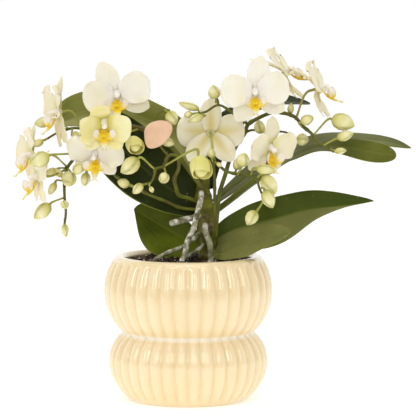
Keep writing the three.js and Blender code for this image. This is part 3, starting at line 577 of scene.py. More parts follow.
# Each belly is an arc with its own radius above and below its widest height. The rim is
# given as (radius, height), from outside to inside.
pot = {
    "height": 110,
    "footRing": 30,
    "footEdge": 2,
    "innerFloor": 20,
    "innerEdge": 14,
    "upperBelly": {"radius": 64, "height": 83.5, "above": 43, "below": 43},
    "lowerBelly": {"radius": 60.3, "height": 30.5, "above": 26, "below": 36},
    "waist": waistHeight,
    "rim": ((56.5, 107.6), (55.9, 108.5), (54.9, 109.3), (53.6, 109.8), (52.3, 110.0),
            (51.0, 109.85), (49.7, 109.4), (48.7, 108.5), (48.2, 107.4), (48.0, 106.2)),
    "wall": 4.6,
    "floor": 6,
    "ribs": 36,
    "ribDepth": 2.2,
    "sharpness": 1.0,
    "around": 432,
}


# Radius of the rib crests at a height, on the arcs of the two bellies.
def crestRadius(height):
    belly = pot["upperBelly"] if height > pot["waist"] else pot["lowerBelly"]
    arc = belly["above"] if height > belly["height"] else belly["below"]
    return belly["radius"] - arc + math.sqrt(arc ** 2 - (height - belly["height"]) ** 2)


def smoothStep(value, low, high):
    t = min(1.0, max(0.0, (value - low) / (high - low)))
    return t * t * (3 - 2 * t)


# A turned blank without ribs; each point says how deep its rib groove may be.
def potBlank():
    profile = [(0, 0, 0), (pot["footRing"], 0, 0), (crestRadius(0) - pot["footEdge"], 0, 0),
               (crestRadius(0.6) - 0.5, 0.35, 0)]  # radius, height, depth of the groove
    for height in [1 + 0.98 * k for k in range(109)]:  # up the outer wall
        fade = smoothStep(pot["height"] - height, 1, 7) * smoothStep(height, 0, 8)
        profile.append((crestRadius(height), height, fade))
    profile += [(radius, height, 0) for radius, height in pot["rim"]]
    for height in [103 - 3.5 * k for k in range(28)]:  # down the inner wall
        profile.append((crestRadius(height) - pot["ribDepth"] - pot["wall"], height, 0))
    profile += [(crestRadius(pot["floor"]) - pot["innerEdge"], pot["floor"], 0),
                (pot["innerFloor"], pot["floor"], 0), (0, pot["floor"], 0)]
    grain = np.zeros((len(profile), pot["around"], 3))
    grain[..., 2] = np.array([fade for _, _, fade in profile])[:, None]
    shells = Shells()
    shells.addRings(turned([row[:2] for row in profile], pot["around"]), grain)
    return shells


# Presses the rib grooves into the blank: 1 - |sin(ribs / 2 * angle)| ^ sharpness.
def ribTree(material):
    tree, entry, sockets = newTree("ribbedPot", Ribs="Float", Depth="Float", Sharpness="Float")
    parts = addNode(tree, "ShaderNodeSeparateXYZ", None,
                    {0: addNode(tree, "GeometryNodeInputPosition")})
    angle = addNode(tree, "ShaderNodeMath", {"operation": "ARCTAN2"},
                    {0: parts.outputs["Y"], 1: parts.outputs["X"]})
    fromFront = addNode(tree, "ShaderNodeMath", {"operation": "ADD"}, {0: angle, 1: math.pi / 2})
    halfRibs = addNode(tree, "ShaderNodeMath", multiply, {0: entry["Ribs"], 1: 0.5})
    phase = addNode(tree, "ShaderNodeMath", multiply, {0: fromFront, 1: halfRibs})
    wave = addNode(tree, "ShaderNodeMath", {"operation": "SINE"}, {0: phase})
    upright = addNode(tree, "ShaderNodeMath", absolute, {0: wave})
    crest = addNode(tree, "ShaderNodeMath", {"operation": "POWER"},
                    {0: upright, 1: entry["Sharpness"]})
    grain = addNode(tree, "GeometryNodeInputNamedAttribute", {"data_type": "FLOAT_VECTOR"},
                    {"Name": "grain"})
    fade = addNode(tree, "ShaderNodeSeparateXYZ", None, {0: grain}).outputs["Z"]
    hollow = addNode(tree, "ShaderNodeMath", subtract, {0: 1.0, 1: crest})
    dip = addNode(tree, "ShaderNodeMath", multiply, {0: hollow, 1: fade})
    inward = addNode(tree, "ShaderNodeMath", multiply, {0: dip, 1: entry["Depth"]})
    flat = addNode(tree, "ShaderNodeCombineXYZ", None,
                   {"X": parts.outputs["X"], "Y": parts.outputs["Y"]})
    outward = addNode(tree, "ShaderNodeVectorMath", {"operation": "NORMALIZE"}, {0: flat})
    back = addNode(tree, "ShaderNodeMath", multiply, {0: inward, 1: -1.0})
    push = addNode(tree, "ShaderNodeVectorMath", scaled, {0: outward, "Scale": back})
    shaped = addNode(tree, "GeometryNodeSetPosition", None,
                     {"Geometry": entry["Geometry"], "Offset": push})
    marked = addNode(tree, "GeometryNodeStoreNamedAttribute", {"data_type": "FLOAT"},
                     {"Geometry": shaped, "Name": "groove", "Value": dip})
    closeTree(tree, marked, material)
    return tree, sockets


# Runs a tree on an object and turns the result into its plain mesh.
def bakeTree(piece, tree, values):
    modifier = piece.modifiers.new(tree.name, "NODES")
    modifier.node_group = tree
    for identifier, value in values.items():
        modifier[identifier] = value
    bpy.context.view_layer.update()
    graph = bpy.context.evaluated_depsgraph_get()
    baked = bpy.data.meshes.new_from_object(piece.evaluated_get(graph))
    piece.modifiers.clear()
    piece.data = baked
    baked.name = piece.name
    return piece


potPiece = potBlank().piece("pot_glazed", [finishes["glaze"]], ["pot"], "glaze")
potTree, potSockets = ribTree(finishes["glaze"])
bakeTree(potPiece, potTree, {
    potSockets["Ribs"]: float(pot["ribs"]),
    potSockets["Depth"]: pot["ribDepth"] * metres,
    potSockets["Sharpness"]: pot["sharpness"],
})
potPiece.data.shade_smooth()
print("pot:", len(potPiece.data.polygons), "faces")

# the growing pot stays as the frame has it
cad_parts["grow_pot"].data.materials.clear()
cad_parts["grow_pot"].data.materials.append(finishes["plastic"])

# The bed's rings are (radius, height) from its foot to its top. Chips and flecks lie above
# bareBelow: so many to the area of a circle with the radius spread, of so many shapes.
bark = {
    "rings": ((30.5, 8), (37, 60), (41.5, 97), (44, 99.6), (47.5, 101), (48, 102.5),
              (45, 103.5), (36, 104.5), (24, 105.1), (12, 105.5)),
    "around": 72,
    "spread": 41.5,
    "bareBelow": 100.5,
    "chips": {"count": 260, "shapes": 7, "size": ((9, 15), (6, 10), (3, 5)), "seed": 7,
              "tilt": 0.45},
    "flecks": {"count": 90, "shapes": 3, "size": (2.2, 1.8, 1.4), "seed": 3, "tilt": 1.2,
               "raise": 2},
    "smallest": 0.5,
}


# The bark bed, turned from its rings, that the loose chips lie on.
def barkBed():
    shells = Shells()
    shells.addRings(turned(bark["rings"], bark["around"]))
    return shells


# A rough block of bark: a split cube with its corners knocked about.
def chipShape(name, seed, size):
    chance = random.Random(seed)
    mesh = bpy.data.meshes.new(name)
    form = bmesh.new()
    bmesh.ops.create_cube(form, size=1)
    bmesh.ops.subdivide_edges(form, edges=form.edges, cuts=1, use_grid_fill=True)
    for v in form.verts:
        v.co = Vector([c * s for c, s in zip(v.co, size)]) * metres
        v.co *= 1 + chance.uniform(-0.22, 0.12)
    form.to_mesh(mesh)
    form.free()
    return bpy.data.objects.new(name, mesh)


# Scatters the shapes of a collection over those faces of a bed that lie high enough.
def scatterTree(name, material):
    tree, entry, sockets = newTree(name, Density="Float", Seed="Int", Lowest="Float", Tilt="Float",
                                   Smallest="Float", Shapes="Collection")
    parts = addNode(tree, "ShaderNodeSeparateXYZ", None,
                    {0: addNode(tree, "GeometryNodeInputPosition")})
    high = addNode(tree, "FunctionNodeCompare",
                   {"data_type": "FLOAT", "operation": "GREATER_THAN"},
                   {0: parts.outputs["Z"], 1: entry["Lowest"]})
    points = addNode(tree, "GeometryNodeDistributePointsOnFaces", None,
                     {"Mesh": entry["Geometry"], "Selection": high, "Density": entry["Density"],
                      "Seed": entry["Seed"]})
    shapes = addNode(tree, "GeometryNodeCollectionInfo", None,
                     {"Collection": entry["Shapes"], "Separate Children": True,
                      "Reset Children": True})
    lean = addNode(tree, "FunctionNodeRandomValue", {"data_type": "FLOAT_VECTOR"},
                   {0: (-1, -1, -9), 1: (1, 1, 9), "Seed": entry["Seed"]})
    tilted = addNode(tree, "ShaderNodeVectorMath", scaled, {0: lean, "Scale": entry["Tilt"]})
    wide = addNode(tree, "FunctionNodeRandomValue", {"data_type": "FLOAT"},
                   {2: entry["Smallest"], 3: 1.0, "Seed": entry["Seed"]})
    laid = addNode(tree, "GeometryNodeInstanceOnPoints", None,
                   {"Points": points, "Instance": shapes, "Pick Instance": True,
                    "Rotation": tilted, "Scale": wide})
    closeTree(tree, laid, material)
    return tree, sockets


# Strews the shapes over the top of the bed, as loose as the settings of the kind say.
def scatter(name, bed, shapes, material, loose):
    kinds = bpy.data.collections.new(name + "Kinds")
    for shape in shapes:
        kinds.objects.link(shape)
    tree, sockets = scatterTree(name + "Scatter", material)
    topArea = math.pi * (bark["spread"] * metres) ** 2
    values = {
        sockets["Density"]: loose["count"] / topArea,
        sockets["Seed"]: loose["seed"],
        sockets["Lowest"]: bark["bareBelow"] * metres,
        sockets["Tilt"]: loose["tilt"],
        sockets["Smallest"]: bark["smallest"],
        sockets["Shapes"]: kinds,
    }
    piece = bpy.data.objects.new(name, bed.data.copy())
    scene.collection.objects.link(piece)
    bakeTree(piece, tree, values)
    for shape in shapes:
        bpy.data.objects.remove(shape)
    bpy.data.collections.remove(kinds)
    return piece


bed = barkBed().piece("bark_bed", [finishes["bark"]], ["bark"], "bark")
looseChips, looseFlecks = bark["chips"], bark["flecks"]
chance = random.Random(looseChips["seed"])
chipKinds = [chipShape(f"chipKind{k}", k, [chance.uniform(*span) for span in looseChips["size"]])
             for k in range(looseChips["shapes"])]
chips = scatter("bark_chips", bed, chipKinds, finishes["bark"], looseChips)
settle(chips, ["bark"])
fleckKinds = [chipShape(f"fleckKind{k}", firstSeeds["flecks"] + k, looseFlecks["size"])
              for k in range(looseFlecks["shapes"])]
flecks = scatter("bark_flecks", bed, fleckKinds, finishes["flecks"], looseFlecks)
flecks.data.transform(Matrix.Translation((0, 0, looseFlecks["raise"] * metres)))
settle(flecks, ["bark"])
print("bark:", len(chips.data.polygons), "chip faces")


# Lays tubes along rows of edges whose points hold a radius, with lumps in their skin.
def pathTree():
    tree, entry, sockets = newTree("pathTube", Sides="Int", Lumps="Float", LumpSize="Float",
                                   Material="Material")
    curves = addNode(tree, "GeometryNodeMeshToCurve", None, {"Mesh": entry["Geometry"]})
    wide = addNode(tree, "GeometryNodeInputNamedAttribute", {"data_type": "FLOAT"},
                   {"Name": "wide"})
    circle = addNode(tree, "GeometryNodeCurvePrimitiveCircle", None,
                     {"Resolution": entry["Sides"], "Radius": 1.0})
    tube = addNode(tree, "GeometryNodeCurveToMesh", None,
                   {"Curve": curves, "Profile Curve": circle, "Scale": wide, "Fill Caps": True})
    fine = addNode(tree, "ShaderNodeMath", {"operation": "DIVIDE"}, {0: 1.0, 1: entry["LumpSize"]})
    noise = addNode(tree, "ShaderNodeTexNoise", None, {"Scale": fine, "Detail": 2.0})
    level = addNode(tree, "ShaderNodeMath", subtract, {0: noise, 1: 0.5})
    swell = addNode(tree, "ShaderNodeMath", multiply, {0: level, 1: entry["Lumps"]})
    push = addNode(tree, "ShaderNodeVectorMath", scaled,
                   {0: addNode(tree, "GeometryNodeInputNormal"), "Scale": swell})
    lumpy = addNode(tree, "GeometryNodeSetPosition", None, {"Geometry": tube, "Offset": push})
    closeTree(tree, lumpy, entry["Material"])
    return tree, sockets


tubeTree, tubeSockets = pathTree()


# One piece of tubes; the paths are (points, radii) in millimetres.
def pathTubes(name, paths, material, nodes, slotName, sides, lumps, lumpSize):
    points, edges, wide = [], [], []
    for line, radii in paths:
        start = len(points)
        points += (np.asarray(line) * metres).tolist()
        wide += [r * metres for r in radii]
        edges += [(k, k + 1) for k in range(start, len(points) - 1)]
    mesh = bpy.data.meshes.new(name)
    mesh.from_pydata(points, edges, [])
    layer = mesh.attributes.new("wide", "FLOAT", "POINT")
    layer.data.foreach_set("value", wide)
    piece = bpy.data.objects.new(name, mesh)
    scene.collection.objects.link(piece)
    bakeTree(piece, tubeTree, {
        tubeSockets["Sides"]: sides,
        tubeSockets["Lumps"]: lumps * metres,
        tubeSockets["LumpSize"]: lumpSize * metres,
        tubeSockets["Material"]: material,
    })
    piece.data.shade_smooth()
    return settle(piece, nodes)


# A path with its radius eased through a list and its ends rounded off. A swelling is (share
# of the length, how much thicker) and spreads over 1.8 mm.
def pathOf(route, radius, step, farEnd=True, swellings=()):
    length = sum(math.dist(a, b) for a, b in zip(route, route[1:]))
    count = max(4, round(length / step))
    shares = np.linspace(0, 1, count + 1)
    wide = np.interp(shares, np.linspace(0, 1, len(radius)), radius)
    for place, more in swellings:
        wide = wide + more * np.exp(-(((shares - place) * length / 1.8) ** 2))
    line = smoothRoute(route, shares)
    points, radii = list(line), list(wide)
    for end, inner in [(0, 1), (-1, -2)] if farEnd else [(0, 1)]:
        along = unit(line[end] - line[inner])
        for out, share in ((0.6, 0.8), (0.9, 0.35)):
            where = 0 if end == 0 else len(points)
            points.insert(where, line[end] + along * wide[end] * out)
            radii.insert(where, wide[end] * share)
    return np.array(points), radii


# Scars are shares of the stem's length where a leaf base left a ring. Each skin is (sides
# of the tube, how high its lumps are, how wide they are).
stem = {
    "route": [[15, 0, 84], [15, 0, 105], [15, 0, 121], [13, 0, 140], [11, 2, 158], [11, 4, 168]],
    "radius": [4.5, 5.6, 7, 7.8, 6.6, 4],
    "scars": (0.3, 0.42, 0.52, 0.63, 0.73, 0.84),
    "scarSwelling": 0.7,
    "skin": (28, 0.8, 5),
}
rootSkin = (16, 0.5, 3)
roots = {
    "root_1": {"route": [[10, -7, 158], [9, -13, 151], [6, -18, 140], [4, -20, 132],
                         [-1, -23, 121], [-2, -24, 115], [-5, -26, 107], [-7, -27, 94]],
               "radius": [2.1, 2.1]},
    "root_2": {"route": [[9, -4, 127], [1, -12, 121], [-3, -15, 118], [-9, -17, 116],
                         [-17, -20, 113], [-26, -22, 107], [-30, -22, 94]], "radius": [1.6, 1.6]},
    "root_3": {"route": [[13, -5, 135], [13, -14, 129], [16, -19, 122], [17, -21, 115],
                         [17, -22, 107], [17, -22, 94]], "radius": [2.2, 2.4]},
    "root_4": {"route": [[9, -5, 140], [-3, -12, 138], [-12, -17, 136]], "radius": [2.4, 2.4]},
    "root_5": {"route": [[12, -4, 119], [8, -13, 116], [3, -14, 113], [-3, -12, 107],
                         [-6, -10, 96]], "radius": [1.3, 1.3]},
}
scars = [(place, stem["scarSwelling"]) for place in stem["scars"]]
pathTubes("stem_body", [pathOf(stem["route"], stem["radius"], 0.8, swellings=scars)],
          finishes["stem"], ["stem"], "stem", *stem["skin"])
for name, root in roots.items():
    pathTubes(name + "_skin", [pathOf(root["route"], root["radius"], 0.9)],
              finishes["root"], [name], "root", *rootSkin)
print("stem and roots:", 1 + len(roots))

# route is the midrib; faces says where the blade looks at its foot and its tip; shape is
# (half width, share of it at the foot, where it is widest, how blunt the tip is), and other
# is the same for the other half where that differs; fold is in degrees.
leaves = {
    "leaf_1": {"route": [[11, 7, 161], [8, 12, 177], [-2, 19, 193], [-15, 24, 203], [-32, 28, 211],
                         [-52, 31, 217], [-71, 29, 218], [-88, 25, 215], [-99, 20, 210]],
               "faces": [[-0.2, -0.8, 0.6], [-0.3, -0.85, 0.4]],
               "shape": (16.5, 0.35, 0.78, 0.4), "fold": 12, "finish": "leafSheen"},
    "leaf_2": {"route": [[9, 0, 146], [-15, 1, 161], [-41, 3, 182], [-62, 6, 202], [-79, 10, 211]],
               "faces": [[0.2, -1, 0.3], [0, -1, 0.2]],
               "shape": (25, 0.4, 0.5), "fold": 10, "finish": "leafDark"},
    "leaf_3": {"route": [[11, 6, 117], [-3, 12, 121], [-16, 18, 128], [-29, 23, 135],
                         [-42, 27, 142]],
               "faces": [[-0.3, -0.8, 0.6], [-0.3, -0.9, 0.3]],
               "shape": (23, 0.3, 0.45, 1.2), "other": (15, 0.4, 0.55), "fold": 12,
               "finish": "leafFresh"},
    "leaf_4": {"route": [[16, 2, 119], [32, 2, 128], [45, 3, 132], [65, 4, 137], [91, 4, 144],
                         [109, 3, 146], [126, 2, 148], [141, 0, 151]],
               "faces": [[0, -0.9, 0.45], [-0.2, -0.9, 0.4]],
               "shape": (16, 0.3, 0.4, 0.8), "other": (23, 0.35, 0.33, 4), "fold": 12,
               "finish": "leafSheenHalf"},
    "leaf_5": {"route": [[18, -7, 111], [27, -14, 113], [38, -23, 118], [51, -32, 124],
                         [64, -40, 129], [77, -48, 133]],
               "faces": [[-0.2, -0.8, 0.5], [0, -0.8, 0.5]],
               "shape": (11, 0.25, 0.5, 0.7), "fold": 14, "finish": "leafGreySheen"},
    "leaf_6": {"route": [[20, 10, 149], [39, 16, 163], [62, 22, 178], [89, 26, 189.5],
                         [120, 26, 195.5], [150, 22, 194], [170, 16, 190]],
               "faces": [[0, -0.14, 1], [0, -0.24, 1]],
               "shape": (20, 0.3, 0.5, 0.75), "fold": 5, "finish": "leafOlive"},
    "leaf_7": {"route": [[19, 5, 141], [33, 3, 152], [48, -1, 164], [69, -4, 178], [81, -5, 185],
                         [94, -6, 191], [107, -7, 193], [119, -8, 192], [136, -8, 189],
                         [157, -8, 186]],
               "faces": [[0, 0.7, 1], [0, -0.9, 0.5]],
               "shape": (9.5, 0.3, 0.85), "fold": 6, "finish": "leafOlive"},
    "leaf_8": {"route": [[14, 8, 159], [17, 26, 181], [26, 38, 199], [44, 44, 215], [66, 46, 223],
                         [94, 46, 222]],
               "faces": [[-0.3, -0.6, 0.7], [0, -0.2, 1]],
               "shape": (15, 0.4, 0.5), "fold": 12, "finish": "leafDark"},
}
leafBlade = {"thick": 1.2, "rows": 64, "columns": 26, "groove": 0.6, "wave": 0.9}


# Half width at a share of the length: wide at the peak, then rounded to the tip.
def halfWidths(t, half, base, peak, taper=0.5):
    rising = base + (1 - base) * np.sin(np.clip(t / peak, 0, 1) * math.pi / 2)
    past = np.clip((t - peak) / (1 - peak), 0, 1)
    falling = np.maximum(0.0, 1 - past ** 2.2) ** taper
    return half * np.where(t < peak, rising, falling)


# Shares of a length that lie closer together towards the tip.
def tipShares(count):
    t = np.linspace(0, 1, count + 1)
    return 1 - (1 - t) ** 1.5


def leafPiece(name, leaf, seed):
    shares = tipShares(leafBlade["rows"])
    centre = smoothRoute(leaf["route"], shares)
    first, last = (np.array(v, float) for v in leaf["faces"])
    faces = first + shares[:, None] * (last - first)
    near = halfWidths(shares, *leaf.get("other", leaf["shape"]))
    far = halfWidths(shares, *leaf["shape"])
    chance = random.Random(seed)
    sway, phase = chance.uniform(2, 3.2), chance.uniform(0, 6)
    fold = math.sin(math.radians(leaf["fold"]))

    def lift(reach, share, wide):
        valley = wide * fold * math.sqrt(share ** 2 + 0.004)
        groove = -leafBlade["groove"] * math.exp(-(share / 0.06) ** 2) * (1 - reach)
        beat = np.sin(sway * 2 * math.pi * shares + phase) * np.sin(math.pi * shares)
        return valley + groove + leafBlade["wave"] * share * abs(share) * beat

    shells = Shells()
    shells.addBlade(centre, faces, (near, far), leafBlade["thick"], lift, leafBlade["columns"])
    return shells.piece(name + "_blade", [finishes[leaf["finish"]]], [name], "leaf")


for seed, (name, leaf) in enumerate(leaves.items()):
    leafPiece(name, leaf, seed)
print("leaves:", len(leaves))

# How each kind of tepal leaves the hub and how much it curls on its way, in radians.
flatRise = {"dorsal": (0.1, -0.3), "petals": (0.12, -0.3), "sepals": (0.08, -0.3)}
cuppedRise = {"dorsal": (0.45, 0.4), "petals": (0.45, 0.4), "sepals": (0.4, 0.3)}
hollowRise = {"dorsal": (0, -0.15), "petals": (0.2, 0), "sepals": (0.05, -0.2)}
sweptRise = {"dorsal": (-0.3, -0.35), "petals": (0.1, -0.4), "sepals": (0.05, -0.2)}
thrownRise = {"dorsal": (-0.45, -0.3), "petals": (0.05, -0.1), "sepals": (-0.5, 0.95)}

# Angles of the upper sepal, the two petals and the two lower sepals, in degrees.
evenPoints = (90, 172, 8, 230, 310)
raisedPoints = (90, 149, 31, 232, 304)

blooms = {
    "bloom_1": {"at": (-53, -26, 234), "face": (0.05, -1, -0.1), "size": 1.04, "rise": flatRise,
                "points": (119, 188, 19, 238, 335)},
    "bloom_2": {"at": (-62, -48, 214), "face": (0.1, -0.9, -0.35), "size": 0.95,
                "rise": cuppedRise, "points": (108, 193, -8, 235, 305), "finish": "petalYellow"},
    "bloom_3": {"at": (-69, -30, 190), "face": (-0.2, -0.85, -0.45), "size": 0.9,
                "rise": flatRise, "points": (85, 160, -2, 225, 300)},
    "bloom_4": {"at": (-97, -20, 220), "face": (-1, -0.32, 0), "size": 1.04, "rise": hollowRise,
                "points": (90, 150, 35, 262, 305), "finish": "petalCream"},
    "bloom_5": {"at": (-118, -8, 187), "face": (-1, -0.4, 0.05), "size": 0.9, "rise": hollowRise,
                "points": (100, 165, 65, 235, 272), "finish": "petalCream"},
    "bloom_6": {"at": (-112, -27, 172), "face": (-1, -0.4, 0), "size": 0.85, "rise": sweptRise,
                "points": (100, 175, 30, 240, 300), "finish": "petalCream"},
    "bloom_7": {"at": (17, -10, 203), "face": (0, 1, -0.1), "size": 1.04, "rise": flatRise,
                "points": evenPoints},
    "bloom_8": {"at": (50, -32, 236), "face": (0.05, -1, -0.05), "size": 1.04,
                "rise": flatRise, "points": (80, 178, 10, 240, 325)},
    "bloom_9": {"at": (73, -4, 249), "face": (0.78, -0.13, 0.6), "size": 1.08,
                "rise": thrownRise, "points": raisedPoints, "finish": "petalCream"},
    "bloom_10": {"at": (98, -12, 237.5), "face": (0.9, -0.16, 0.38), "size": 1.08,
                 "rise": thrownRise, "points": raisedPoints, "finish": "petalCream"},
    "bloom_11": {"at": (61, -26.5, 194), "face": (0.6, -0.75, -0.25), "size": 0.9,
                 "rise": hollowRise, "points": evenPoints, "finish": "petalCream"},
}
# root is how far from the axis they start; hollow and wave are a tepal's bowl and its edge.
tepals = {
    "root": 2.2,
    "thick": 0.8,
    "hubBack": 3,
    "steps": 60,
    "rows": 22,
    "columns": 14,
    "sepal": {"length": 26, "half": 8, "lift": -1, "shape": (0.5, 0.48, 0.75)},
    "petal": {"length": 25, "half": 12.1, "lift": 0.9, "shape": (0.44, 0.57, 0.52)},
    "dorsalForm": (1.1, 0.4),
    "petalForm": (1.7, 1.3),
    "sepalForm": (1.0, 0.5),
}


# Places a flower: its axis looks along face, with its upper sepal up.
def frameOf(at, face):
    ahead = Vector(face).normalized()
    right = Vector((0, 0, 1)).cross(ahead).normalized()
    up = ahead.cross(right)
    return Matrix.Translation(Vector(at)) @ Matrix((right, up, ahead)).transposed().to_4x4()


# The middle line of a tepal that leaves the hub at an angle and curls as it goes.
def tepalLine(angle, length, lift, bend, shares):
    start, curl = bend
    steps = tepals["steps"]
    stride = (length - tepals["root"]) / steps
    radial, height = [tepals["root"]], [lift]
    for i in range(steps):
        rise = start + curl * (i + 0.5) / steps
        radial.append(radial[-1] + stride * math.cos(rise))
        height.append(height[-1] + stride * math.sin(rise))
    places = np.linspace(0, 1, steps + 1)
    out = np.interp(shares, places, radial)
    up = np.interp(shares, places, height)
    turn = math.radians(angle)
    return np.stack([out * math.cos(turn), out * math.sin(turn), up], axis=1)


# A sepal or petal, slightly hollow across, with a soft keel and a waving edge.
def addTepal(shells, angle, kind, size, bend, chance, form):
    shares = tipShares(tepals["rows"])
    sizes = tepals[kind]
    hollow, wave = form
    centre = tepalLine(angle, sizes["length"] * size, sizes["lift"], bend, shares)
    faces = np.tile([0.0, 0.0, 1.0], (len(shares), 1))
    width = halfWidths(shares, sizes["half"] * size, *sizes["shape"])
    phase = chance.uniform(0, 6)
    beats = chance.uniform(1.5, 2.5)

    def lift(reach, share, wide):
        bowl = hollow * share ** 2 * np.sin(math.pi * np.clip(shares * 1.1, 0, 1))
        keel = -0.35 * math.exp(-(share / 0.12) ** 2) * (1 - shares)
        edge = wave * abs(share) ** 3 * np.sin(beats * 2 * math.pi * shares + phase + 2 * share)
        return (bowl + keel + edge) * np.clip(shares * 5, 0, 1)

    shells.addBlade(centre, faces, (width, width), tepals["thick"], lift, tepals["columns"])


column = {
    "route": [(0, 0, -3), (0, 0, 0), (0, -0.3, 4), (0, -1.2, 8)],
    "places": [0, 0.12, 0.28, 0.42, 0.62, 0.82, 0.93, 1],
    "radii": [1.1, 2.2, 3.3, 2.4, 1.7, 2.1, 1.8, 0.6],
    "rings": 15,
    "sides": 16,
    "flatness": 0.12,
}


# Hub and column: a short club with a rounded cap over the lip.
def addColumn(shells, finish):
    shares = np.linspace(0, 1, column["rings"])
    radii = np.interp(shares, column["places"], column["radii"])
    flatten = lambda angles, share: 1 + column["flatness"] * np.cos(2 * angles) * share
    shells.addTube(smoothRoute(column["route"], shares), radii, column["sides"], finish, flatten)


def bloomPiece(name, bloom, seed):
    chance = random.Random(seed)
    size, rise = bloom["size"], bloom["rise"]
    dorsal, *sides = bloom["points"]
    shells = Shells()
    addTepal(shells, dorsal, "sepal", size, rise["dorsal"], chance, tepals["dorsalForm"])
    for angle in sides[:2]:
        addTepal(shells, angle, "petal", size, rise["petals"], chance, tepals["petalForm"])
    for angle in sides[2:]:
        addTepal(shells, angle, "sepal", size, rise["sepals"], chance, tepals["sepalForm"])
    addColumn(shells, 1)
    shells.turn(frameOf(bloom["at"], bloom["face"]))
    skin = finishes[bloom.get("finish", "petal")]
    return shells.piece(name + "_tepals", [skin, finishes["column"]], [name], "tepal")


# The lip's parts; shape is as for a leaf. A wing, a tendril and a knob stand on each side,
# and their points are those of the right one.
lip = {
    "rows": 14,
    "middle": {"route": [(0, -4.2, 2.6), (0, -9, 4), (0, -12.5, 7), (0, -16, 12)],
               "face": (0.0, 1.0, 0.6), "shape": (3.4, 0.5, 0.35), "thick": 1.0, "bowl": 0.9},
    "wing": {"route": [(1.2, -9.5, 4.8), (5, -8.5, 6.5), (7.5, -3, 8.5)],
             "faces": [(-1, 0.6, 0.9), (-1, 0, 1.2)], "shape": (3.4, 0.6, 0.55), "thick": 0.8,
             "bowl": 0.7},
    "tendril": {"route": [(0.5, -15.4, 11), (1.5, -16.8, 12.4), (2.8, -16.3, 13.2),
                          (3.2, -15, 12.6)], "radius": (0.45, 0.18), "rings": 12},
    "knob": {"route": [(0.9, -7.6, 4.0), (1.0, -9.0, 5.6), (0.8, -9.4, 6.6)],
             "radii": [1.0, 1.3, 1.4, 1.3, 1.1, 0.8, 0.3]},
}


# The lip: hooked middle lobe with two curled tendrils, two upright wings, two knobs.
def lipPiece(name, bloom):
    shells = Shells()
    shares = tipShares(lip["rows"])
    middle, wing, tendril, knob = (lip[part] for part in ("middle", "wing", "tendril", "knob"))
    facing = np.tile(middle["face"], (len(shares), 1))
    width = halfWidths(shares, *middle["shape"])
    bowl = lambda reach, share, wide: middle["bowl"] * share ** 2 * np.sin(math.pi * shares)
    shells.addBlade(smoothRoute(middle["route"], shares), facing, (width, width),
                    middle["thick"], bowl, 10)
    width = halfWidths(shares, *wing["shape"])
    bowl = lambda reach, share, wide: wing["bowl"] * share ** 2 * np.ones(len(shares))
    for side in (-1, 1):
        mirror = np.array([side, 1, 1])
        first, last = np.array(wing["faces"]) * mirror
        shells.addBlade(smoothRoute(wing["route"] * mirror, shares),
                        first + shares[:, None] * (last - first), (width, width),
                        wing["thick"], bowl, 8, 1)
        steps = tendril["rings"]
        shells.addTube(smoothRoute(tendril["route"] * mirror, np.linspace(0, 1, steps)),
                       np.linspace(*tendril["radius"], steps), 8)
        shells.addTube(smoothRoute(knob["route"] * mirror, np.linspace(0, 1, len(knob["radii"]))),
                       knob["radii"], 10, 0, None,
                       lambda angle, share: (0, 0.35 + 0.15 * share, 0))
    shells.turn(frameOf(bloom["at"], bloom["face"]))
    node = name.replace("bloom", "lip")
    return shells.piece(node + "_lobes", [finishes["lip"], finishes["lipWing"]], [node], "lip")


for seed, (name, bloom) in enumerate(blooms.items()):
    bloomPiece(name, bloom, firstSeeds["blooms"] + seed)
    lipPiece(name, bloom)
print("blooms:", len(blooms))

openingBlooms = {
    "opening_bloom_1": {"at": (8, -40, 187), "face": (0.15, -0.7, -0.7), "size": 1},
    "opening_bloom_2": {"at": (-42, -29, 200), "face": (0.3, -0.85, -0.5), "size": 0.8},
}
# A core with ridges, and cups round it: (angle, length, half width, distances from the axis).
opening = {
    "core": {"length": 19, "radius": 6.1, "rings": 18, "sides": 30},
    "cups": [(80, 17.5, 10.5, [1.5, 5.4, 6.9, 7.2, 6.6, 5.2]),
             (205, 16.5, 10, [1.5, 5.7, 7.4, 7.6, 7.3, 6.6]),
             (325, 16, 9.5, [1.5, 5.9, 7.7, 8.1, 8.2, 8.2])],
    "thick": 0.8,
    "rows": 20,
    "hubBack": 1.4,
}


# A petal wrapped round the bloom's axis: the cup's own profile sets its distance.
def addCup(shells, size, angle, reach, half, profile):
    shares = tipShares(opening["rows"])
    radii = np.interp(shares, np.linspace(0, 1, len(profile)), profile) * size
    heights = (shares * reach - 0.5) * size
    turn = math.radians(angle)
    centre = np.stack([radii * math.cos(turn), radii * math.sin(turn), heights], axis=1)
    width = halfWidths(shares, half * size, 0.35, 0.6)

    def wrap(share, wide):
        around = turn + share * wide / np.maximum(radii, 2.5 * size)
        out = np.stack([np.cos(around), np.sin(around), np.zeros(len(shares))], axis=1)
        body = out * radii[:, None]
        body[:, 2] = heights
        return body, out

    faces = np.tile([math.cos(turn), math.sin(turn), 0.2], (len(shares), 1))
    shells.addBlade(centre, faces, (width, width), opening["thick"], None, 14, 0, wrap)


def openingPiece(name, bloom):
    size, core = bloom["size"], opening["core"]
    shells = Shells()
    shares = np.linspace(0, 1, core["rings"])
    line = np.outer((shares * core["length"] - 0.5) * size, [0, 0, 1])
    bulge = np.sin(math.pi * np.clip(0.05 + 0.95 * shares, 0, 0.999)) ** 0.6

    def ridges(angles, share):
        return 1.02 - 0.1 * (1 - np.abs(np.sin(1.5 * angles + 2.2 * share))) ** 3

    shells.addTube(line, size * core["radius"] * bulge, core["sides"], 0, ridges)
    for cup in opening["cups"]:
        addCup(shells, size, *cup)
    shells.turn(frameOf(bloom["at"], bloom["face"]))
    return shells.piece(name + "_cups", [finishes["petalGreen"]], [name], "opening")


for name, bloom in openingBlooms.items():
    openingPiece(name, bloom)
print("opening blooms:", len(openingBlooms))

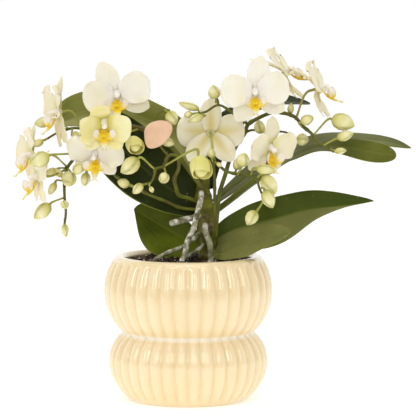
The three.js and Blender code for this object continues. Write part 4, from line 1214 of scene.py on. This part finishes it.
# A bud is (point on the stem, its base, its tip, its width).
# A flower is (point on the stem, bloom, points that its stalk bends through).
spikes = {
    "spike_1": {
        "route": [[13, -2, 156], [8, -8, 165], [-2, -11, 179], [-15, -13, 196], [-35, -15, 207],
                  [-59, -15, 210], [-75, -15, 206], [-83, -13, 196], [-85, -11, 186],
                  [-91, -11, 177], [-93, -12, 166], [-93, -14, 156], [-92, -15, 144],
                  [-93, -15, 135]],
        "radius": [1.9, 1.7, 1.4, 0.9],
        "sideStems": [([[-75, -15, 206], [-86, -9, 207], [-97, -7, 204], [-108, -12, 198]],
                       [1.1, 0.8])],
        "buds": [
            ((-93, -15, 139), (-93, -15, 135), (-92, -15, 125), 5.5),
            ((-93, -14, 154), (-93, -18, 151), (-92, -25, 149), 6.5),
            ((-93, -14, 155), (-104, -15, 150), (-116, -16, 139), 10.5),
            ((-93, -12, 168), (-91, -17, 172), (-87, -28, 167), 11.5),
            ((-93, -12, 167), (-100, -12, 166), (-105, -13, 157), 6),
            ((-91, -11, 177), (-99, -12, 176), (-108, -14, 171), 6.5),
            ((-92, -11, 173), (-95, -14, 171), (-100, -17, 177), 5.5),
            ((-91, -11, 177), (-84, -28, 175), (-79, -34, 182), 8.5),
            ((-87, -9, 207), (-86, -16, 202), (-81, -22, 202), 6.5),
            ((-89, -8, 206), (-104, 8, 212), (-117, 8, 209), 8.5),
            ((-91, -11, 178), (-103, -47, 189), (-117, -51, 184), 12),
            ((-106, -11, 199), (-109, -14, 198), (-117, -15, 194), 6),
        ],
        "flowers": [
            ((-50, -15, 209), "bloom_1"),
            ((-66, -15, 208), "bloom_2", (-66, -30, 203)),
            ((-78, -14, 204), "bloom_4"),
            ((-85, -11, 188), "bloom_5"),
            ((-92, -11, 176), "bloom_6"),
            ((-37, -15, 207), "opening_bloom_2"),
        ],
    },
    "spike_2": {
        "route": [[9, -5, 150], [1, -10, 154], [-7, -14, 157], [-9, -18, 163], [-10, -22, 170],
                  [-7, -26, 178], [-8, -28, 187], [-14, -30, 188], [-16, -31, 185],
                  [-18, -32, 180], [-24, -33, 178], [-25, -34, 173], [-28, -35, 168],
                  [-33, -36, 167]],
        "radius": [1.5, 1.5, 1.3, 0.8],
        "sideStems": [([[-15, -30, 188], [-21, -32, 196], [-24, -33, 205], [-24, -33, 215],
                        [-20, -32, 221], [-14, -31, 222]], [0.9, 0.8])],
        "buds": [
            ((-17, -32, 222), (-14, -31, 221), (-9, -31, 211), 9.5),
            ((-18, -32, 180), (-17, -35, 174), (-19, -43, 169), 8),
            ((-25, -33, 178), (-37, -38, 186), (-50, -40, 176), 12),
            ((-31, -36, 167), (-34, -36, 167), (-41, -37, 160), 7),
            ((-28, -35, 168), (-28, -38, 165), (-26, -41, 161), 3.5),
            ((-22, -32, 199), (-20, -28, 199), (-10, -27, 196), 7),
        ],
        "flowers": [((-18, -32, 180), "opening_bloom_1")],
    },
    "spike_3": {
        "route": [[18, -7, 120], [20, -13, 130], [20, -16, 142], [20, -18, 156], [20, -22, 169],
                  [20, -26, 182], [29, -30, 176], [45, -34, 173], [51, -36, 172],
                  [53, -39, 165], [57, -41, 156]],
        "radius": [1.2, 1.2, 1.1, 0.8],
        "sideStems": [],
        "buds": [
            ((20, -26, 182), (18, -27, 186), (17, -28, 194), 6),
            ((20, -26, 182), (22, -30, 182), (25, -34, 180), 3.5),
            ((37, -33, 174), (40, -34, 180), (43, -36, 190), 10.5),
            ((36, -32, 175), (36, -28, 177), (39, -28, 187), 7),
            ((47, -34, 173), (51, -40, 179), (65, -42, 177), 8),
            ((51, -36, 171), (56, -40, 173), (65, -44, 160), 12),
            ((54, -39, 164), (57, -46, 163), (63, -47, 150), 10),
            ((57, -41, 156), (51, -43, 147), (44, -44, 137), 9.5),
        ],
        "flowers": [((20, -26, 182), "bloom_7")],
    },
    "spike_4": {
        "route": [[21, -5, 125], [22, -5, 141], [24, -3, 158], [28, -1, 171], [32, 0, 184],
                  [37, 0, 194], [43, -1, 203], [45, -3, 209], [54, -7, 215], [65, -9, 219],
                  [74, -11, 218], [81, -12, 215], [86, -14, 209], [93, -15, 203],
                  [96, -16, 198], [104, -18, 194], [109, -19, 190]],
        "radius": [1.5, 1.6, 1.5, 1.4, 0.9],
        "sideStems": [
            ([[45, -3, 209], [41, -10, 214], [36, -16, 217], [23, -20, 225], [13, -22, 220],
              [5, -24, 219]], [1.2, 0.8]),
            ([[43, -1, 203], [48, -2, 205], [58, -2, 204], [69, -2, 204], [75, -3, 203],
              [81, -5, 199]], [0.9, 0.7]),
            ([[23, -20, 225], [22, -20, 229], [21, -20, 231]], [0.8, 0.7]),
        ],
        "buds": [
            ((21, -20, 227), (21, -20, 230), (19, -21, 240), 9.5),
            ((9, -23, 219), (8, -21, 222), (-7, -23, 227), 6),
            ((9, -23, 219), (11, -27, 217), (0, -29, 213), 6.5),
            ((7, -24, 219), (3, -24, 219), (-3, -25, 217), 5.5),
            ((53, -2, 205), (54, -5, 203), (53, -8, 213), 8.5),
            ((79, -4, 200), (82, -6, 199), (91, -8, 197), 9.5),
            ((86, -14, 208), (85, -18, 212), (94, -22, 216), 8),
            ((94, -15, 202), (108, -16, 214), (125, -18, 209), 13),
            ((102, -18, 195), (112, -20, 200), (124, -22, 204), 7.5),
            ((107, -19, 192), (110, -19, 190), (119, -20, 191), 5),
            ((79, -12, 216), (77, -9, 218), (78, -8, 226), 5),
        ],
        "flowers": [
            ((60, -8, 218), "bloom_8"),
            ((70, -9, 219), "bloom_9"),
            ((81, -12, 214), "bloom_10"),
            ((58, -2, 204), "bloom_11"),
        ],
    },
    "spike_5": {
        "route": [[7, -6, 145], [-6, -10, 147], [-17, -12, 152], [-29, -14, 157], [-41, -15, 163],
                  [-54, -16, 171], [-62, -16, 179]],
        "radius": [1.3, 0.8],
        "sideStems": [],
        "buds": [
            ((-36, -15, 160), (-44, -20, 165), (-53, -22, 168), 7),
            ((-58, -16, 175), (-76, -18, 174), (-78, -20, 164), 7.5),
        ],
        "flowers": [((-62, -16, 179), "bloom_3")],
    },
}
# What all spikes share: where a stem swells at its nodes and by how much, its skin, and
# the radii of the stalks.
spikeForm = {
    "nodes": (0.2, 0.38, 0.55, 0.7, 0.84),
    "swelling": 0.35,
    "sideSwelling": (0.5, 0.25),
    "stemSkin": (12, 0.25, 3),
    "stalkSkin": (10, 0.15, 3),
    "stalkRadius": 0.8,
    "flowerStalk": [0.9, 0.8, 0.9, 1.1],
    "shortStalk": 4,
    "budScale": 2.6,
    "flowerScale": 3,
}
# A bud's outline: a round base, its widest place, and a blunt point.
budForm = {
    "places": [0, 0.04, 0.15, 0.38, 0.6, 0.78, 0.9, 0.97, 1],
    "widths": [0.3, 0.5, 0.8, 1, 0.93, 0.68, 0.4, 0.17, 0.02],
    "rings": 19,
    "sides": 30,
    "bow": 0.05,
}


# A bud of three folded sepals, a little bowed; its grain says where they meet.
def addBud(shells, base, tip, width, chance):
    base, tip = np.array(base, float), np.array(tip, float)
    shares = np.linspace(0, 1, budForm["rings"])
    side = unit(np.cross(tip - base, [0.2, 1, 0.3]))
    bow = budForm["bow"] * width * chance.uniform(-1, 1)
    line = base + np.outer(shares, tip - base) + np.outer(np.sin(math.pi * shares) * bow, side)
    spin = chance.uniform(0, 2)

    def form(angles, share):
        fold = np.abs(np.sin(1.5 * (angles + spin + 0.6 * share)))
        return 1.03 - 0.09 * (1 - fold) ** 3

    def grain(angle, share):
        fold = abs(math.sin(1.5 * (angle + spin + 0.6 * share)))
        return ((1 - fold) ** 3, share, 0)

    radii = np.interp(shares, budForm["places"], budForm["widths"]) * width / 2
    shells.addTube(line, radii, budForm["sides"], 0, form, grain)


# A bud's stalk: a longer one turns into the bud's own line before it meets it.
def stalkRoute(start, base, tip):
    base, tip, start = (np.array(v, float) for v in (base, tip, start))
    inward = unit(base - tip)
    route = [start, base - inward * 0.8]
    if np.linalg.norm(start - base) > spikeForm["shortStalk"]:
        route.insert(1, base + inward * spikeForm["shortStalk"] / 2)
    return [v.tolist() for v in route]


# A flower's stalk comes in from behind the hub.
def flowerRoute(start, name, *bends):
    flower = {**blooms, **openingBlooms}[name]
    ahead = np.array(Vector(flower["face"]).normalized())
    hub = tepals["hubBack"] if name in blooms else opening["hubBack"]
    at = np.array(flower["at"], float)
    return [list(start), *[list(b) for b in bends], (at - ahead * (hub + 7)).tolist(),
            (at - ahead * (hub - 0.6)).tolist()]


# Small dry scales that clasp the stem where a stalk leaves it.
def addBract(shells, foot, towards, size):
    foot, towards = np.array(foot, float), np.array(towards, float)
    out = unit(towards - foot)
    shares = tipShares(8)
    line = foot - out * 0.4 + np.outer(shares, out * size + [0, 0, 0.5])
    facing = np.tile(np.cross(out, [0.3, 0.9, 0.2]), (len(shares), 1))
    width = halfWidths(shares, 0.45 * size, 0.8, 0.3)
    cup = lambda reach, share, wide: 0.5 * share ** 2 * np.ones(len(shares))
    shells.addBlade(line, facing, (width, width), 0.35, cup, 6)


for number, (name, spike) in enumerate(spikes.items()):
    chance = random.Random(firstSeeds["spikes"] + number)
    nodes = [(place, spikeForm["swelling"]) for place in spikeForm["nodes"]]
    stems = [pathOf(spike["route"], spike["radius"], 1.0, swellings=nodes)]
    for route, radius in spike["sideStems"]:
        stems.append(pathOf(route, radius, 1.0, swellings=[spikeForm["sideSwelling"]]))
    pathTubes(name + "_stems", stems, finishes["flowerStem"], [name], "spike",
              *spikeForm["stemSkin"])
    stalks = []
    for start, base, tip, width in spike["buds"]:
        thin = spikeForm["stalkRadius"]
        radius = [thin, thin * 0.9, min(1.1, width / 5)]
        stalks.append(pathOf(stalkRoute(start, base, tip), radius, 0.7, False))
    for flower in spike["flowers"]:
        stalks.append(pathOf(flowerRoute(*flower), spikeForm["flowerStalk"], 0.8, False))
    pathTubes(name + "_stalks", stalks, finishes["flowerStalk"], [name], "spike",
              *spikeForm["stalkSkin"])
    buds, bracts = Shells(), Shells()
    for start, base, tip, width in spike["buds"]:
        addBud(buds, base, tip, width, chance)
        addBract(bracts, start, base, spikeForm["budScale"])
    for start, *_ in spike["flowers"]:
        above = (start[0], start[1] - 2, start[2] + 3)
        addBract(bracts, start, above, spikeForm["flowerScale"])
    buds.piece(name + "_buds", [finishes["bud"]], [name], "spike")
    bracts.piece(name + "_bracts", [finishes["flowerStem"]], [name], "spike")
print("spikes:", len(spikes))

# The outline's four curves are shares of half the size; the clip hooks round its stalk.
tag = {
    "at": (-22, -35.2, 204),
    "size": 21,
    "thick": 0.8,
    "outline": [((-1, 0.1), (-1, 0.7), (-0.4, 1), (0.2, 1)),
                ((0.2, 1), (0.8, 1), (1.05, 0.7), (1, 0.35)),
                ((1, 0.35), (0.9, -0.3), (0.2, -1), (-0.5, -1)),
                ((-0.5, -1), (-0.9, -1), (-1, -0.5), (-1, 0.1))],
    "stalk": (-24, -33),
    "clip": {"radius": 2.3, "wire": 0.6, "above": 6, "turn": (-150, 30), "rings": 24},
}


def tagPiece():
    outline = []
    for a, b, c, d in tag["outline"]:
        for t in np.linspace(0, 1, 14, endpoint=False):
            weights = ((1 - t) ** 3, 3 * t * (1 - t) ** 2, 3 * t * t * (1 - t), t ** 3)
            outline.append(sum(w * np.array(p) for w, p in zip(weights, (a, b, c, d))))
    outline = np.array(outline) * tag["size"] / 2
    x, y, z = tag["at"]
    rings = []
    for depth, share in ((0, 0.3), (0, 0.7), (0, 0.97), (0.15, 0.99), (0.5, 1), (0.85, 0.99),
                         (1, 0.97), (1, 0.7), (1, 0.3)):
        ring = np.full((len(outline), 3), y - depth * tag["thick"])
        ring[:, 0] = x + outline[:, 0] * share
        ring[:, 2] = z + outline[:, 1] * share
        rings.append(ring)
    shells = Shells()
    shells.addRings(rings)
    clip = tag["clip"]
    angles = np.radians(np.linspace(*clip["turn"], clip["rings"]))
    wire = np.full((clip["rings"], 3), z + clip["above"], float)
    wire[:, 0] = tag["stalk"][0] + clip["radius"] * np.cos(angles)
    wire[:, 1] = tag["stalk"][1] + clip["radius"] * np.sin(angles)
    shells.addTube(wire, np.full(clip["rings"], clip["wire"]), 10)
    return shells.piece("tag_card", [finishes["tag"]], ["tag"], "tag")


tagPiece()
print("tag made")

# The floor's corners are in metres. It fades from a painted shade to a painted glow between
# two depths, and so does the room, from how bright it is before the plant to behind it.
studio = {
    "floor": "#ffffff",
    "shade": "#b0b0b0",
    "corners": [(-6, -4, 0), (6, -4, 0), (6, 14, 0), (-6, 14, 0)],
    "floorFade": (-0.7, -0.14),
    "floorGlow": 0.3,
    "before": 0.38,
    "behind": 1.1,
    "roomFade": (-0.4, 0.5),
    # place, size and strength in watts of each lamp; all are aimed at the plant
    "lamps": [
        ((-0.9, -1.3, 0.9), (0.3, 1.0), 4.6),
        ((0.0, -1.6, 0.9), (0.3, 1.0), 4.4),
        ((0.9, -1.3, 0.9), (0.3, 1.0), 3.0),
        ((-0.1, -0.45, 1.5), (1.2, 1.0), 5),
    ],
    "aim": (0.01, 0, 0.15),
}
camera = {"place": (15, -2200, 351.4), "pitch": 5.34, "lens": 252.3, "sensor": 36, "far": 40}


def paleFloor():
    mesh = bpy.data.meshes.new("floor")
    mesh.from_pydata(studio["corners"], [], [(0, 1, 2, 3)])
    floor = bpy.data.objects.new("floor", mesh)
    scene.collection.objects.link(floor)
    material, tree = newMaterial("paleFloor")
    grain = mottled(tree, [(0.3, "#fafafa"), (0.7, studio["floor"])], 40)
    # painted shade: nearer than the camera sees, the floor is painted grey and does not glow, so
    # the glaze mirrors no edge; farther off it glows, a painted light
    place = addNode(tree, "ShaderNodeTexCoord").outputs["Object"]
    depth = addNode(tree, "ShaderNodeSeparateXYZ", None, {"Vector": place}).outputs["Y"]
    start, end = studio["floorFade"]
    lit = addNode(tree, "ShaderNodeMapRange", eased,
                  {"Value": depth, "From Min": start, "From Max": end})
    shaded = addNode(tree, "ShaderNodeMix", colourMix, {0: lit, 6: studio["shade"], 7: grain})
    # painted light: where it is lit, the floor glows
    glow = addNode(tree, "ShaderNodeMath", multiply, {0: lit, 1: studio["floorGlow"]})
    closeMaterial(tree, {"Base Color": shaded, "Roughness": 0.9, "Specular IOR Level": 0.0,
                         "Emission Color": "#ffffff", "Emission Strength": glow})
    mesh.materials.append(material)


def softLight(place, size, strength):
    lamp = bpy.data.lights.new("softbox", "AREA")
    lamp.shape = "RECTANGLE"
    lamp.size, lamp.size_y = size
    lamp.energy = strength
    holder = bpy.data.objects.new("softbox", lamp)
    holder.location = place
    towards = Vector(studio["aim"]) - Vector(place)
    holder.rotation_euler = towards.to_track_quat("-Z", "Y").to_euler()
    scene.collection.objects.link(holder)


paleFloor()
for lamp in studio["lamps"]:
    softLight(*lamp)
print("lamps:", len(studio["lamps"]))

# The room: soft light from all round, brighter behind the plant.
sky = bpy.data.worlds.new("sky")
sky.use_nodes = True
sky.node_tree.nodes.clear()
way = addNode(sky.node_tree, "ShaderNodeTexCoord").outputs["Generated"]
away = addNode(sky.node_tree, "ShaderNodeSeparateXYZ", None, {0: way}).outputs["Y"]
glow = addNode(sky.node_tree, "ShaderNodeMapRange", eased,
               {"Value": away, "From Min": studio["roomFade"][0],
                "From Max": studio["roomFade"][1], "To Min": studio["before"],
                "To Max": studio["behind"]})
backdrop = addNode(sky.node_tree, "ShaderNodeBackground", None,
                   {"Color": "#ffffff", "Strength": glow})
addNode(sky.node_tree, "ShaderNodeOutputWorld", None, {"Surface": backdrop})
scene.world = sky
scene.view_settings.view_transform = "Standard"

eye = bpy.data.cameras.new("eye")
eye.lens = camera["lens"]
eye.sensor_width = camera["sensor"]
eye.clip_end = camera["far"]
eyeHolder = bpy.data.objects.new("eye", eye)
eyeHolder.location = [c * metres for c in camera["place"]]
eyeHolder.rotation_euler = (math.radians(90 - camera["pitch"]), 0, 0)
scene.collection.objects.link(eyeHolder)
scene.camera = eyeHolder
